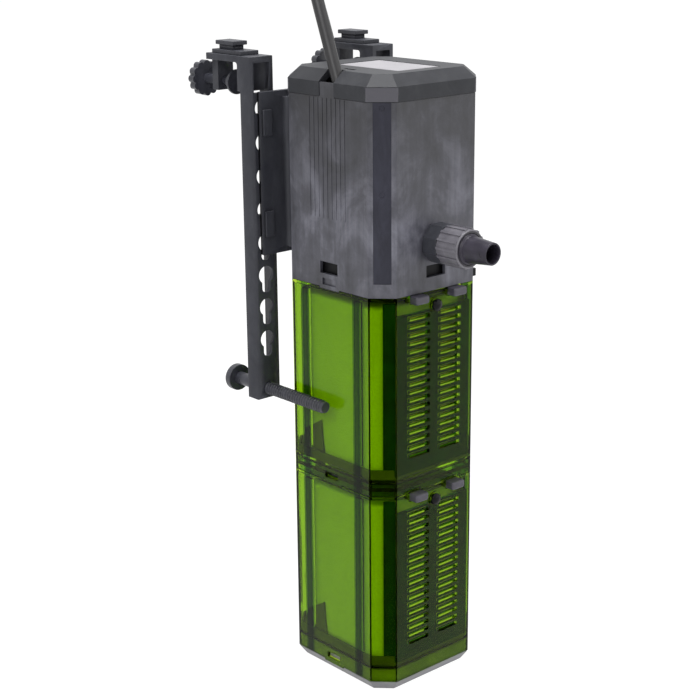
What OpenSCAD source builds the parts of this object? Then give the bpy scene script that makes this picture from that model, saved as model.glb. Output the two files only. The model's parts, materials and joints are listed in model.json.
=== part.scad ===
// Aquarium power filter: pump head on two clear filter modules, hung on the tank rim by two hook arms.
// Frame: +Z up, the outlet faces -Y, the arms are at +Y. The origin is the middle of the base's underside.

/* [Body] */
// Width of the head and modules
body_w = 95; // [88:1:110]
// Depth of the head and modules, front to rear
body_d = 101; // [94:1:115]
// Leg of the 45 degree chamfer on each upright corner
corner = 13; // [11:0.5:16]
// Wall of the housing and the module shells
wall = 2.4; // [1.8:0.1:2.8]
// Gap between pieces that part from each other
gap = 0.3; // [0.25:0.05:0.5]
// Height of the lip that one stage pushes up into the next
lip_h = 8; // [6:0.5:9]
// Wall of that lip
lip_wall = 1.8; // [1.4:0.1:2.2]

/* [Base and modules] */
// Height of the base plate
base_h = 8; // [5:0.5:10]
// Height of one filter module
module_h = 135; // [125:1:160]
// Rows of intake slots
slot_rows = 18; // [10:1:18]
// Height between slot rows
slot_pitch = 5.5; // [5:0.1:6.2]
// Length of a slot
slot_l = 18.5; // [12:0.5:20]
// Height of a slot
slot_h = 2.6; // [1.5:0.1:3]
// Width of one catch tab
tab_w = 11.5; // [8:0.5:14]
// Height of one catch tab
tab_h = 5.5; // [4:0.5:7]
// How far a catch tab stands out of the front
tab_out = 6.4; // [5.5:0.1:8]
// Distance of a catch tab's middle from the centre line
tab_x = 17; // [14:0.5:20]
// Diameter of the keyhole plug
plug_d = 8; // [6:0.5:9]
// Outer diameter of the core tube
core_d = 25; // [20:1:30]

/* [Pump head] */
// Height of the pump housing
head_h = 124; // [115:1:150]
// Height of the lid
lid_h = 16; // [14:0.5:22]
// Height of the sloping edge of the lid
bevel = 7; // [5:0.5:8]
// Width of the label's place on the lid
label_w = 38; // [25:1:40]
// Length of the label's place on the lid
label_l = 58; // [30:1:60]
// Width of the notch that the lead leaves by
notch_w = 14; // [12:0.5:18]
// Height of the outlet's axis above the housing's lower edge
outlet_rise = 31.5; // [31:0.5:36]
// Width of a corner strip
strip_w = 11.5; // [8:0.5:13]
// Diameter of the rotor magnet
magnet_d = 28; // [22:1:30]
// Length of the rotor magnet
magnet_l = 39; // [30:1:42]
// Diameter of the ceramic shaft
shaft_d = 4; // [3:0.5:5]
// Diameter of the impeller
impeller_d = 40; // [30:1:46]
// Outer diameter of the pump chamber
chamber_d = 66; // [62:1:70]

/* [Outlet] */
// Bore of the nozzle
nozzle_bore = 12.2; // [10:0.1:13]
// Outer diameter of the nozzle's tip
nozzle_tip_d = 14.4; // [14.2:0.1:15]
// Length of the nozzle from the ball's middle to the tip
nozzle_l = 24.5; // [20:0.5:35]
// Radius of the nozzle's ball
ball_r = 11.2; // [11:0.1:11.4]
// Diameter of the collar nut over its ribs
nut_d = 26.4; // [26:0.1:30]
// Length of the collar nut
nut_l = 18; // [18:0.5:20]
// Length of the octagonal socket
socket_l = 12; // [9:0.5:16]
// Width of the octagonal socket across its flats
socket_af = 24.5; // [22:0.5:28]

/* [Brackets] */
// Distance of each arm from the centre line
arm_x = 54; // [53:0.5:62]
// Width of an arm
arm_w = 19; // [17:0.5:21]
// Depth of an arm, front to rear
arm_d = 11; // [9:0.5:14]
// Height of an arm's lower end above the ground
arm_foot = 191; // [150:1:200]
// Height between the keyholes
key_pitch = 22.4; // [20:0.1:24]
// Number of keyholes in an arm
key_count = 8; // [4:1:8]
// Thickness of the bracket plate
plate_t = 3.7; // [3:0.1:5]
// Room for the tank's glass and rim between arm and clamp flange
hook_room = 24.5; // [20:0.5:32]
// Thickness of the clamp flange
flange_t = 6.3; // [5:0.1:8]
// Diameter of the clamp screw
clamp_d = 6.5; // [5:0.5:8]
// Diameter of the clamp knob
knob_d = 24; // [20:1:26]
// Diameter of the clamp pad
pad_d = 16.5; // [14:0.5:18]
// Diameter of the spacer screw
spacer_d = 9; // [7:0.5:9]
// Length of the spacer screw in front of its foot
spacer_l = 92; // [70:1:100]
// Diameter of the spacer foot
foot_d = 18.5; // [14:0.5:20]

/* [Lead] */
// Diameter of the mains lead
cord_d = 8; // [7:0.5:8]
// Middle radius of the coil of spare lead
coil_r = 44; // [40:1:48]

/* [Hidden] */
$fn = 64;
eps = 0.02;
run_gap = 0.05;

// Levels of the stack
z_low = base_h;
z_mid = z_low + module_h;
z_head = z_mid + module_h;
z_lid = z_head + head_h;
z_shoulder = z_lid + lid_h - bevel;
z_top = z_lid + lid_h;
front_y = -body_d / 2;
rear_y = body_d / 2;
side_x = body_w / 2;

// The lip of each stage stands inside the wall of the next one
lip_out = wall + gap + 0.1;
lip_in = lip_out + lip_wall;
rim_t = 2.5;
tongue_w = 19;
tongue_drop = 1.2;
latch_w = 13;

// Inside a module, heights above its lower edge
ledge_z = lip_h + 1.3;
ledge_t = 2;
ledge_in = 5;
floor_z = ledge_z + ledge_t;
floor_t = 2;
fill_z = floor_z + floor_t;
rim_up = 4.5;
slot_up = 4.75;
slot_z0 = (module_h - (slot_rows - 1) * slot_pitch) / 2 + slot_up;
slot_x = 14;
grid_t = 2;
grid_gap = 0.5;
grid_half = side_x - corner - 1;
foam_front = 10;
foam_low = 2.5;
core_wall = 2;
rib_t = 1.8;
fin_t = 1;
fin_in = wall + rib_t + 0.2;
fill_in = fin_in + fin_t + 0.2;
plug_drop = 10;

// Inside the head, heights above its lower edge
window_z = 9;
window_h = 8;
window_w = 17;
deck_z = 17.2;
deck_t = 2.6;
deck_top = z_head + deck_z + deck_t;
deck_hole = 24.2;
outlet_z = z_head + outlet_rise;
chamber_h = 23;
chamber_roof = 3;
chamber_wall = 4;
chamber_top = deck_top + chamber_h;
tube_r = 10.8;
duct_r = 7.8;
neck_r = 13;
inlet_r = 11;
can_r = magnet_d / 2 + 3;
can_wall = 1.6;
can_h = magnet_l + 12;
can_z = chamber_top - chamber_roof;
case_in = 9;
case_wall = 2.5;
case_z = chamber_top + 2;
case_h = 56;
ear_h = 6;
ear_screw_r = 1.5;
post_in = 9;
post_r = 4.5;
strip_t = 1.4;
strip_z0 = z_head + 9;
strip_z1 = z_lid - 0.5;
pin_r = 1.7;
pins_z = [z_lid - 4, (strip_z0 + strip_z1) / 2];
lid_over = 0.4;
label_at = [2, -4];

// Flow slide
slide_y0 = front_y + wall + lip_wall + 1.5;
slide_d = 4;
slide_z0 = z_head + 0.8;
slide_h = 5.4;
slide_end = side_x - 4;
blade_x = -(inlet_r + 2);
slide_left = corner + 1.5 - side_x;
blade_t = 1.8;
blade_z = z_head + lip_h + 0.6;

// Outlet, measured along -Y from the front face
ball_y = front_y - socket_l - 13.5;
nut_y0 = front_y - socket_l - 0.5;
nut_y1 = nut_y0 - nut_l;
spigot_r = 10;
spigot_end = front_y - socket_l - 4.5;
seat_r = ball_r + gap;
seal_y0 = spigot_end - gap;
seal_t = 1.5;
nozzle_neck_r = 8.8;

// Brackets
plate_y0 = rear_y + 2.5;
plate_y1 = plate_y0 + plate_t;
plate_z0 = z_head + 14.5;
plate_z1 = z_lid - 1;
plate_half = arm_x + 4.2;
neck_half = 40;
plate_screw_r = 1.9;
plate_screw_x = 26;
plate_screw_in = 18;
arm_y0 = plate_y1 + gap;
arm_y1 = arm_y0 + arm_d;
web_t = 3;
rail_t = 2.5;
block_z0 = z_lid - 1.3;
block_z1 = z_lid + 21.5;
block_y0 = arm_y0;
block_y1 = arm_y1 + 2.5;
bar_t = 4.2;
flange_in = 3;
flange_y0 = block_y1 + hook_room;
flange_y1 = flange_y0 + flange_t;
bar_end = flange_y1 + 2.5;
flange_z0 = z_lid - 3;
stud_low = 21;
stud_z = [z_lid - stud_low, z_lid - stud_low - 3 * key_pitch];
stud_r = 3;
stud_head_r = 5.2;
stud_head_t = 2.6;
key_r = stud_head_r + 0.8;
key_drop = 9;
clamp_z = z_lid + 3;
pad_y0 = block_y1 + 11.8;
pad_t = 6.5;
disc_t = 2;
knob_y0 = flange_y1 + 14.3;
knob_t = 5.5;
tip_l = 3;
spacer_z = arm_foot + 7;
foot_block = 18;
foot_y0 = arm_y1 + 21.5;
foot_t = 5;
spacer_pin_r = 3;

// Mains lead: points chosen by hand, from the gland over the top, down behind and on to the coil
cord_x = 6.5 - side_x;
cord_exit = [cord_x, -5, z_lid + 6];
cord_dir = [0, 0.354, 0.935];
cord_route = [
    cord_exit, [cord_x, -1, z_lid + 16.5], [cord_x, 7, z_lid + 37.5], [cord_x, 15, z_lid + 58.5],
    [-36.5, 29, z_lid + 82], [-25, 50, z_lid + 98.5], [-8.5, 71, z_lid + 103.5], [7.5, 87.5, z_lid + 95.5],
    [19.5, 95, z_lid + 76.5], [24, 90.5, z_lid + 52], [24, 81, z_lid + 29], [23.5, 73, z_lid + 6],
    [22.5, 67, 382], [22, 65.5, 360], [21, 65.5, 320], [18.5, 65.5, 290], [15.5, 65.5, 260],
    [12.5, 65.5, 230], [9, 65.5, 200], [5.5, 65.5, 170], [2, 65.5, 140], [-1.5, 65.5, 115],
    [-5.5, 65.3, 90], [-8.5, 65, 72], [-10.5, 65.5, 55], [-8, 68.5, 32], [-1, 76, 17],
    [8, 86, 12.5], [19.7, 98.5, 11.5]
];
coil_c = [75, 95];
coil_h = 15;
coil_half = 8;
plug_dir = 0;

// Shared shapes

// Octagonal plan of the body, moved in by inset
function octagon(inset) =
    let (
        w = side_x - inset,
        d = rear_y - inset,
        c = corner - (2 - sqrt(2)) * inset
    )
    [[-w, c - d], [c - w, -d], [w - c, -d], [w, c - d], [w, d - c], [w - c, d], [c - w, d], [-w, d - c]];

module plan(inset = 0) {
    polygon(octagon(inset));
}

module prism(inset, z0, z1) {
    translate([0, 0, z0]) linear_extrude(z1 - z0) plan(inset);
}

module ring(outer, inner, z0, z1) {
    difference() {
        prism(outer, z0, z1);
        prism(inner, z0 - 1, z1 + 1);
    }
}

// A prism with sloping sides, from inset0 at z0 to inset1 at z1
module taper(inset0, inset1, z0, z1) {
    low = [for (p = octagon(inset0)) [p[0], p[1], z0]];
    high = [for (p = octagon(inset1)) [p[0], p[1], z1]];
    sides = [for (k = [0 : 7]) [k, k + 8, (k + 1) % 8 + 8, (k + 1) % 8]];
    polyhedron(concat(low, high), concat([[for (k = [0 : 7]) k]], sides, [[for (k = [7 : -1 : 0]) k + 8]]));
}

// A box from two opposite corners
module box(a, b) {
    translate(a) cube(b - a);
}

// A cylinder along Y from y0 to y1
module rod_y(x, z, y0, y1, r) {
    translate([x, y0, z]) rotate([-90, 0, 0]) cylinder(r = r, h = y1 - y0);
}

// Turns a profile of [radius, y] points about the outlet's axis
module turned_y(points) {
    translate([0, 0, outlet_z]) rotate([-90, 0, 0]) rotate_extrude() polygon(points);
}

// Places children on each corner chamfer, with the local X axis pointing out of the body
module at_corners() {
    for (sx = [-1, 1], sy = [-1, 1])
        translate([sx * (side_x - corner / 2), sy * (rear_y - corner / 2), 0])
            rotate([0, 0, atan2(sy, sx)]) children();
}

module both_sides() {
    for (turn = [0, 180]) rotate([0, 0, turn]) children();
}

// Base and modules

module base_plate() {
    sole = base_h * 0.45;
    foot = 5;
    edge = 0.5;
    band_z = z_low - 1;
    color("gray") difference() {
        union() {
            prism(edge, band_z, z_low);
            taper(edge + foot, edge, 0, band_z);
            prism(lip_out, z_low - eps, z_low + lip_h);
        }
        prism(lip_in, sole, z_low + lip_h + 1);
        tongue_notches(z_low);
    }
}

// Window over the latch in the lower edge of the left and right walls
module latch_windows(z, deep) {
    both_sides() box([-side_x - 1, -latch_w / 2, z + 2], [-side_x + deep, latch_w / 2, z + 6.5]);
}

module tongues(z) {
    both_sides() box([-side_x, -tongue_w / 2, z - tongue_drop], [-side_x + wall, tongue_w / 2, z + 1]);
}

module tongue_notches(z) {
    room = tongue_w / 2 + gap;
    both_sides() box([-side_x - 1, -room, z - tongue_drop - gap], [-side_x + lip_out, room, z + 1]);
}

module slot_pattern(z, y0, y1, spare = 0) {
    for (row = [0 : slot_rows - 1], sx = [-1, 1]) {
        x = sx * slot_x;
        mid = z + slot_z0 + row * slot_pitch;
        half = [slot_l / 2 + spare, slot_h / 2 + spare];
        box([x - half[0], y0, mid - half[1]], [x + half[0], y1, mid + half[1]]);
    }
}

// Openings in the front for the two catch tabs
module tab_openings(z) {
    top = z + module_h;
    for (sx = [-1, 1])
        box([sx * tab_x - tab_w / 2 - gap, front_y - 1, top - tab_h - 3 * gap],
            [sx * tab_x + tab_w / 2 + gap, front_y + lip_in + 1, top + 1]);
}

// Notch in the lip for the flow slide
module slide_notch(z) {
    top = z + module_h;
    box([side_x - corner - 2, front_y, top], [side_x, front_y + corner + 4, top + lip_h + 1]);
}

module shell(z) {
    top = z + module_h - gap;
    rib_y = 25.5;
    rib_w = 6.4;
    color([0.35, 0.55, 0.12, 0.6]) difference() {
        union() {
            ring(0, wall, z, top);
            ring(0, lip_in, top - rim_t, top);
            ring(lip_out, lip_in, top - 1, z + module_h + lip_h);
            ring(wall - eps, ledge_in, z + ledge_z, z + floor_z);
            tongues(z);
            both_sides() for (y = [-rib_y, rib_y])
                box([-side_x + wall - eps, y - rib_w / 2, z + fill_z + rim_up + 1],
                    [-side_x + wall + rib_t, y + rib_w / 2, top - rim_t - 2]);
            rod_y(0, z + module_h - plug_drop, front_y - 1, front_y + 1, plug_d / 2 + 1.2);
        }
        slot_pattern(z, front_y - 2, front_y + wall + 0.3);
        latch_windows(z, wall + 0.2);
        tab_openings(z);
        slide_notch(z);
        tongue_notches(z + module_h);
        rod_y(0, z + module_h - plug_drop, front_y - 2, front_y + wall + 1, plug_d / 2 - 1);
        seal_groove(z);
    }
}

module seal_groove(z) {
    ring(lip_out - 1, lip_out + 0.9, z + module_h + 3, z + module_h + 5.5);
}

module rim_seal(z) {
    color("black") difference() {
        ring(lip_out, lip_out + 0.9, z + module_h + 3, z + module_h + 5.5);
        slide_notch(z);
    }
}

// Upright fin behind a side wall, a finger grip for lifting the floor plate out
module side_fin() {
    rotate([90, 0, 90]) linear_extrude(fin_t)
        polygon([[9, 0], [11, 6], [12.5, 15], [13.5, 29], [30, 19], [34, 8], [36, 0]]);
}

// Upstanding rim round the floor plate, left open in front for the grid
module floor_rim(z) {
    half = grid_half + gap;
    grid_back = front_y + wall + grid_gap + grid_t + gap;
    difference() {
        ring(wall + gap, wall + gap + 1.2, z + floor_z, z + fill_z + rim_up);
        box([-half, front_y, z + fill_z - eps], [half, grid_back, z + fill_z + rim_up + 1]);
    }
}

// Floor plate of a module with its perforated suction tube
module core_tube(z) {
    hole_r = 4;
    hole_ring = 26;
    slit_w = 4;
    slit_h = 14;
    tube_top = z + module_h + lip_h;
    color("dimgray") difference() {
        union() {
            prism(wall + gap, z + floor_z, z + fill_z);
            translate([0, 0, z + floor_z]) cylinder(d = core_d, h = tube_top - z - floor_z);
            floor_rim(z);
            both_sides() translate([fin_in - side_x, 0, z + floor_z]) side_fin();
        }
        translate([0, 0, z]) cylinder(d = core_d - 2 * core_wall, h = module_h + lip_h + 1);
        for (a = [0 : 45 : 315])
            rotate([0, 0, a]) translate([hole_ring, 0, z + floor_z - 1])
                cylinder(r = hole_r, h = floor_t + 2);
        for (level = [0 : 3], a = [0, 90])
            translate([0, 0, z + fill_z + 10 + level * 22]) rotate([0, 0, a])
                box([-core_d, -slit_w / 2, 0], [core_d, slit_w / 2, slit_h]);
    }
}

module foam(z) {
    color([0.72, 0.82, 0.4]) difference() {
        intersection() {
            prism(fill_in, z + fill_z, z + module_h - tab_h - foam_low);
            box([-side_x, front_y + foam_front, z], [side_x, rear_y, z + module_h]);
        }
        translate([0, 0, z]) cylinder(d = core_d + 2 * gap, h = module_h);
    }
}

module intake_grid(z) {
    y0 = front_y + wall + grid_gap;
    wing_out = wall + gap + 1.4;
    wing_d = 9.5;
    wing_top = z + module_h - rim_t - 2;
    color([0.13, 0.17, 0.12]) difference() {
        union() {
            box([-grid_half, y0, z + fill_z], [grid_half, y0 + grid_t, z + module_h - 13]);
            for (m = [0, 1]) mirror([m, 0, 0]) intersection() {
                ring(wing_out, fill_in - 0.2, z + fill_z, wing_top);
                box([-side_x, front_y, z], [2 - grid_half, front_y + wing_d, z + module_h]);
            }
        }
        slot_pattern(z, y0 - 1, y0 + grid_t + 1, 0.3);
    }
}

// Two thumb tabs on one bar that lies across the inside of the front
module catch_slide(z) {
    top = z + module_h - 2 * gap;
    bar_y = front_y + lip_in + gap;
    color("dimgray") {
        for (sx = [-1, 1])
            translate([sx * tab_x, 0, top])
                box([-tab_w / 2, front_y - tab_out, -tab_h], [tab_w / 2, bar_y + eps, 0]);
        box([-tab_x - tab_w / 2, bar_y, top - tab_h], [tab_x + tab_w / 2, bar_y + 3.5, top - 2]);
    }
}

module keyhole_plug(z) {
    plug_z = z + module_h - plug_drop;
    color("black") {
        rod_y(0, plug_z, front_y - 3.6, front_y - 1, plug_d / 2);
        rod_y(0, plug_z, front_y - 1 - eps, front_y + wall, plug_d / 2 - 1);
    }
}

// Pump head

module pump_housing() {
    flute_count = 9;
    flute_pitch = 4.2;
    flute_z = 46;
    tab_t = 1.6;
    joint = 0.6;
    color("slategray") difference() {
        union() {
            ring(0, wall, z_head, z_lid);
            prism(wall - eps, z_head + deck_z, deck_top);
            tongues(z_head);
            intersection() {
                prism(1, z_head + deck_z, z_lid - 6);
                for (sx = [-1, 1], sy = [-1, 1])
                    translate([sx * (side_x - post_in), sy * (rear_y - post_in), z_head + deck_z])
                        cylinder(r = post_r, h = head_h);
            }
            translate([-side_x, 0, 0])
                box([0, gap - notch_w / 2, z_lid - 1], [tab_t, notch_w / 2 - gap, z_shoulder - gap]);
        }
        latch_windows(z_head - 0.5, wall / 2);
        both_sides() {
            translate([-side_x, 0, z_head + window_z])
                box([-1, -window_w / 2, 0], [wall + 1, window_w / 2, window_h]);
            translate([0, front_y, z_head + window_z])
                box([-window_w / 2, -1, 0], [window_w / 2, wall + 1, window_h]);
            for (i = [0 : flute_count - 1])
                translate([-side_x, (i - (flute_count - 1) / 2) * flute_pitch, z_head + flute_z])
                    translate([-1, -0.3, 0]) cube([1.25, 0.6, head_h - flute_z - 1]);
        }
        at_corners() box([-strip_t, -strip_w / 2, strip_z0], [2, strip_w / 2, strip_z1]);
        at_corners() for (z = pins_z) translate([-wall - 2, 0, z]) rotate([0, 90, 0])
            cylinder(r = pin_r, h = wall + 4);
        translate([0, 0, z_head]) cylinder(r = deck_hole, h = deck_z + deck_t + 1);
        rod_y(0, outlet_z, front_y - 1, front_y + wall + 1, tube_r + run_gap);
        translate([side_x, slide_y0, slide_z0])
            box([-corner - 3, -gap, -gap], [1, slide_d + gap, slide_h + gap]);
        at_chamber_screws() translate([0, 0, z_head + deck_z - 1]) cylinder(r = ear_screw_r, h = deck_t + 2);
        at_plate_screws() rotate([90, 0, 0]) cylinder(r = plate_screw_r, h = wall + 1);
        difference() {
            ring(-1, joint, z_lid - joint, z_lid + 1);
            box([-side_x - 2, -notch_w / 2, z_lid - 2], [-side_x + 5, notch_w / 2, z_lid + 2]);
        }
    }
}

// Screens that hang from the deck behind the four windows
module window_screens() {
    inset = wall + 1.2;
    half = window_w / 2 + 1.5;
    low = z_head + lip_h + 0.4;
    top = z_head + deck_z - run_gap;
    t = 1.2;
    color("black") both_sides() {
        translate([inset - side_x, 0, 0]) box([0, -half, low], [t, half, top]);
        translate([0, inset + front_y, 0]) box([-half, 0, low], [half, t, top]);
    }
}

module corner_strips() {
    color([0.22, 0.22, 0.25]) at_corners() difference() {
        box([-strip_t, -strip_w / 2, strip_z0], [-0.2, strip_w / 2, strip_z1]);
        for (z = pins_z) translate([-strip_t - 1, 0, z]) rotate([0, 90, 0])
            cylinder(r = pin_r, h = strip_t + 2);
    }
}

module strip_pins() {
    color([0.2, 0.2, 0.22]) at_corners() for (z = pins_z)
        translate([-wall, 0, z]) rotate([0, 90, 0]) cylinder(r = pin_r, h = wall - 0.5);
}

// The notch in the lid's left edge, over the whole height of the wall and bevel
module cord_notch() {
    box([-side_x - 2, -notch_w / 2, z_lid - 7], [cord_exit[0] + cord_d / 2 + 0.6, notch_w / 2, z_top + 1]);
}

module lid() {
    lip = 5;
    skin = 2.4;
    slope = 8;
    slot_off = 14;
    color([0.3, 0.3, 0.32]) difference() {
        union() {
            prism(-lid_over, z_lid, z_shoulder);
            taper(-lid_over, slope - lid_over, z_shoulder, z_top);
            ring(wall + gap, wall + gap + 1.8, z_lid - lip, z_lid + 1);
        }
        prism(wall + gap + 1.8, z_lid - eps, z_shoulder - 1);
        taper(wall + gap + 1.8, wall + gap + 1.8 + slope, z_shoulder - 1 - eps, z_top - skin);
        cord_notch();
        gland_shape(run_gap, 16);
        label_outline(0.8, 1);
        translate([label_at[0] - label_w / 2 - slot_off, 0, z_top]) box([-1.5, -9, -1.2], [1.5, 1, 1]);
    }
}

// Shallow place for the label on the lid, drawn from depth below the top to rise above it
module label_outline(depth, rise, inset = 0) {
    half_w = label_w / 2 - inset;
    half_l = label_l / 2 - inset;
    translate([label_at[0], label_at[1], z_top]) box([-half_w, -half_l, -depth], [half_w, half_l, rise]);
}

module label_plate() {
    color("white") label_outline(0.8, -0.3, 0.2);
}

module at_chamber_screws() {
    for (a = [45 : 90 : 315]) rotate([0, 0, a]) translate([chamber_d / 2 + 3, 0, 0]) children();
}

module pump_chamber() {
    color([0.25, 0.25, 0.27]) difference() {
        union() {
            translate([0, 0, deck_top]) cylinder(d = chamber_d, h = chamber_h);
            at_chamber_screws() translate([0, 0, deck_top]) cylinder(r = 5, h = ear_h);
            rod_y(0, outlet_z, front_y, -chamber_d / 2 + chamber_wall + 2, tube_r);
        }
        translate([0, 0, deck_top - 1])
            cylinder(d = chamber_d - 2 * chamber_wall, h = chamber_h - chamber_roof + 1);
        translate([0, 0, deck_top]) cylinder(r = can_r + run_gap, h = chamber_h + 1);
        rod_y(0, outlet_z, front_y - 1, -chamber_d / 2 + chamber_wall + 4, duct_r);
        at_chamber_screws() translate([0, 0, deck_top - 1]) cylinder(r = ear_screw_r, h = ear_h + 2);
    }
}

module chamber_screws() {
    color("silver") at_chamber_screws() {
        translate([0, 0, deck_top - deck_t]) cylinder(r = ear_screw_r, h = deck_t + ear_h + eps);
        translate([0, 0, deck_top + ear_h]) cylinder(r = ear_screw_r + 1.4, h = 2.4);
    }
}

// Plate under the impeller with the inlet neck and a three-armed hub for the lower bush
module chamber_cover() {
    plate = 2.2;
    neck_z = blade_z + blade_t + 0.6;
    color([0.28, 0.28, 0.3]) difference() {
        union() {
            difference() {
                union() {
                    translate([0, 0, deck_top])
                        cylinder(d = chamber_d - 2 * chamber_wall - 2 * run_gap, h = plate);
                    translate([0, 0, neck_z]) cylinder(r = neck_r, h = deck_top - neck_z + eps);
                }
                translate([0, 0, neck_z - 1]) cylinder(r = inlet_r, h = deck_top + plate - neck_z + 2);
            }
            translate([0, 0, deck_top - 3]) cylinder(r = 5.5, h = 3 + plate);
            for (a = [90, 210, 330])
                rotate([0, 0, a]) box([0, -1, deck_top - 2], [inlet_r + 1, 1, deck_top + plate]);
        }
        translate([0, 0, deck_top - 1]) cylinder(r = shaft_d / 2 + 1.5, h = plate + 2);
    }
}

// Thin cup that keeps the water and the rotor apart from the windings
module rotor_can() {
    top_t = 3;
    flange = 7;
    color([0.35, 0.35, 0.38]) difference() {
        union() {
            translate([0, 0, can_z]) cylinder(r = can_r, h = can_h);
            translate([0, 0, chamber_top]) cylinder(r = can_r + flange, h = 2);
        }
        translate([0, 0, can_z - 1]) cylinder(r = can_r - can_wall, h = can_h - top_t + 1);
        translate([0, 0, can_z + can_h - top_t - 1]) cylinder(r = shaft_d / 2 + 1.5, h = top_t);
    }
}

module motor_case() {
    color([0.2, 0.2, 0.22]) difference() {
        prism(case_in, case_z, case_z + case_h);
        prism(case_in + case_wall, case_z + case_wall, case_z + case_h - case_wall);
        translate([0, 0, case_z - 1]) cylinder(r = can_r + run_gap, h = case_wall + 2);
    }
}

core_gap = 2;
core_side = 6;
core_yoke = 6;
core_leg = 12;
core_up = 8;
core_h = 24;
core_back = rear_y - case_in - case_wall - core_gap;
core_w = 2 * (side_x - case_in - case_wall - core_side);
core_z0 = case_z + core_up;
leg_y = [can_r + 2, core_back - core_yoke];

module stator_core() {
    air = 7;
    bore = can_r + 0.6;
    color("silver") translate([0, 0, core_z0]) linear_extrude(core_h) difference() {
        translate([-core_w / 2, -bore - 3]) square([core_w, bore + 3 + core_back]);
        circle(r = bore);
        translate([-air, -bore - 4]) square([2 * air, bore + 4 + leg_y[1]]);
        translate([core_leg - core_w / 2, leg_y[0] - 2])
            square([core_w - 2 * core_leg, leg_y[1] - leg_y[0] + 2]);
    }
}

module stator_coils() {
    wind = 3.4;
    color("sienna") for (sx = [-1, 1]) difference() {
        x0 = sx * (core_w - core_leg) / 2 - core_leg / 2;
        translate([x0, 0, core_z0])
            box([-wind, leg_y[0], -wind], [core_leg + wind, leg_y[1] - 1, core_h + wind]);
        translate([x0, 0, core_z0])
            box([-0.1, leg_y[0] - 1, -0.1], [core_leg + 0.1, leg_y[1], core_h + 0.1]);
    }
}

shaft_z0 = deck_top - 1;
shaft_z1 = can_z + can_h - 1.4;
bush_h = 2.6;

module rotor_shaft() {
    color("white") translate([0, 0, shaft_z0]) cylinder(d = shaft_d, h = shaft_z1 - shaft_z0);
}

module shaft_bushes() {
    color("black") for (z = [shaft_z0, shaft_z1 - bush_h]) translate([0, 0, z]) difference() {
        cylinder(r = shaft_d / 2 + 1.5, h = bush_h);
        translate([0, 0, -1]) cylinder(d = shaft_d, h = bush_h + 2);
    }
}

impeller_z0 = outlet_z - 5.5;
impeller_top = outlet_z + 6;
magnet_z0 = chamber_top + 0.5;

module rotor_magnet() {
    color([0.15, 0.15, 0.16]) translate([0, 0, magnet_z0]) difference() {
        cylinder(d = magnet_d, h = magnet_l);
        translate([0, 0, -1]) cylinder(d = shaft_d + 2 * run_gap, h = magnet_l + 2);
    }
}

module impeller() {
    hub_r = 6;
    blades = 6;
    color("whitesmoke") difference() {
        union() {
            translate([0, 0, impeller_z0]) cylinder(r = hub_r, h = magnet_z0 - impeller_z0);
            translate([0, 0, impeller_top - 2]) cylinder(d = impeller_d, h = 2);
            for (a = [0 : 360 / blades : 359]) rotate([0, 0, a])
                box([hub_r - 1, -0.8, impeller_z0], [impeller_d / 2, 0.8, impeller_top - 1]);
        }
        translate([0, 0, impeller_z0 - 1])
            cylinder(d = shaft_d + 2 * run_gap, h = magnet_z0 - impeller_z0 + 2);
    }
}

// Bar behind the front wall that draws a blade across the inlet
module flow_slide() {
    y1 = slide_y0 + slide_d;
    color("black") {
        box([slide_left, slide_y0, slide_z0], [slide_end, y1, slide_z0 + slide_h]);
        box([slide_left, slide_y0, slide_z0], [blade_x, y1, blade_z + blade_t]);
        box([slide_left, slide_y0, blade_z], [blade_x, inlet_r + 1, blade_z + blade_t]);
    }
}

// Outlet

module outlet_socket() {
    color([0.24, 0.24, 0.27]) difference() {
        union() {
            translate([0, front_y - socket_l, outlet_z]) rotate([-90, 22.5, 0])
                cylinder(d = socket_af / cos(22.5), h = socket_l, $fn = 8);
            rod_y(0, outlet_z, spigot_end, front_y - socket_l + eps, spigot_r);
        }
        rod_y(0, outlet_z, spigot_end - 1, front_y + 1, duct_r);
    }
}

// Arc of radius r about the ball's middle, as [radius, y] points from y offset a to b
function ball_arc(r, a, b, steps = 8) =
    [for (i = [0 : steps]) let (off = a + (b - a) * i / steps) [sqrt(r * r - off * off), ball_y + off]];

module collar_nut() {
    ribs = 14;
    body_r = nut_d / 2 - 0.7;
    mouth = nut_y1 - ball_y;
    color("darkgray") {
        turned_y(concat(
            [[spigot_r + run_gap, nut_y0], [spigot_r + run_gap, spigot_end], [seat_r, spigot_end]],
            ball_arc(seat_r, 0, mouth),
            [[body_r - 0.6, nut_y1], [body_r, nut_y1 + 0.8], [body_r, nut_y0]]
        ));
        for (i = [0 : ribs - 1]) translate([0, 0, outlet_z]) rotate([0, i * 360 / ribs, 0])
            box([body_r - 0.4, nut_y1 + 0.8, -0.8], [nut_d / 2, nut_y0, 0.8]);
    }
}

module nozzle_seal() {
    color("black") turned_y([
        [9, seal_y0], [spigot_r + 0.9, seal_y0], [spigot_r + 0.9, seal_y0 - seal_t], [9, seal_y0 - seal_t]
    ]);
}

module nozzle() {
    tip_y = ball_y - nozzle_l;
    back = sqrt(ball_r * ball_r - pow(duct_r + 0.4, 2));
    neck_off = -6.5;
    flare = 9;
    color([0.27, 0.26, 0.3]) turned_y(concat(
        [[duct_r, ball_y + back]],
        ball_arc(ball_r, back, neck_off + 1.2, 14),
        [[nozzle_neck_r, ball_y + neck_off], [nozzle_tip_d / 2, tip_y], [nozzle_bore / 2, tip_y]],
        [[nozzle_bore / 2, ball_y - flare + 4]]
    ));
}

// Brackets

module at_plate_screws() {
    for (sx = [-1, 1], z = [plate_z0 + plate_screw_in, plate_z1 - plate_screw_in])
        translate([sx * plate_screw_x, rear_y + 0.5, z]) children();
}

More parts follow.
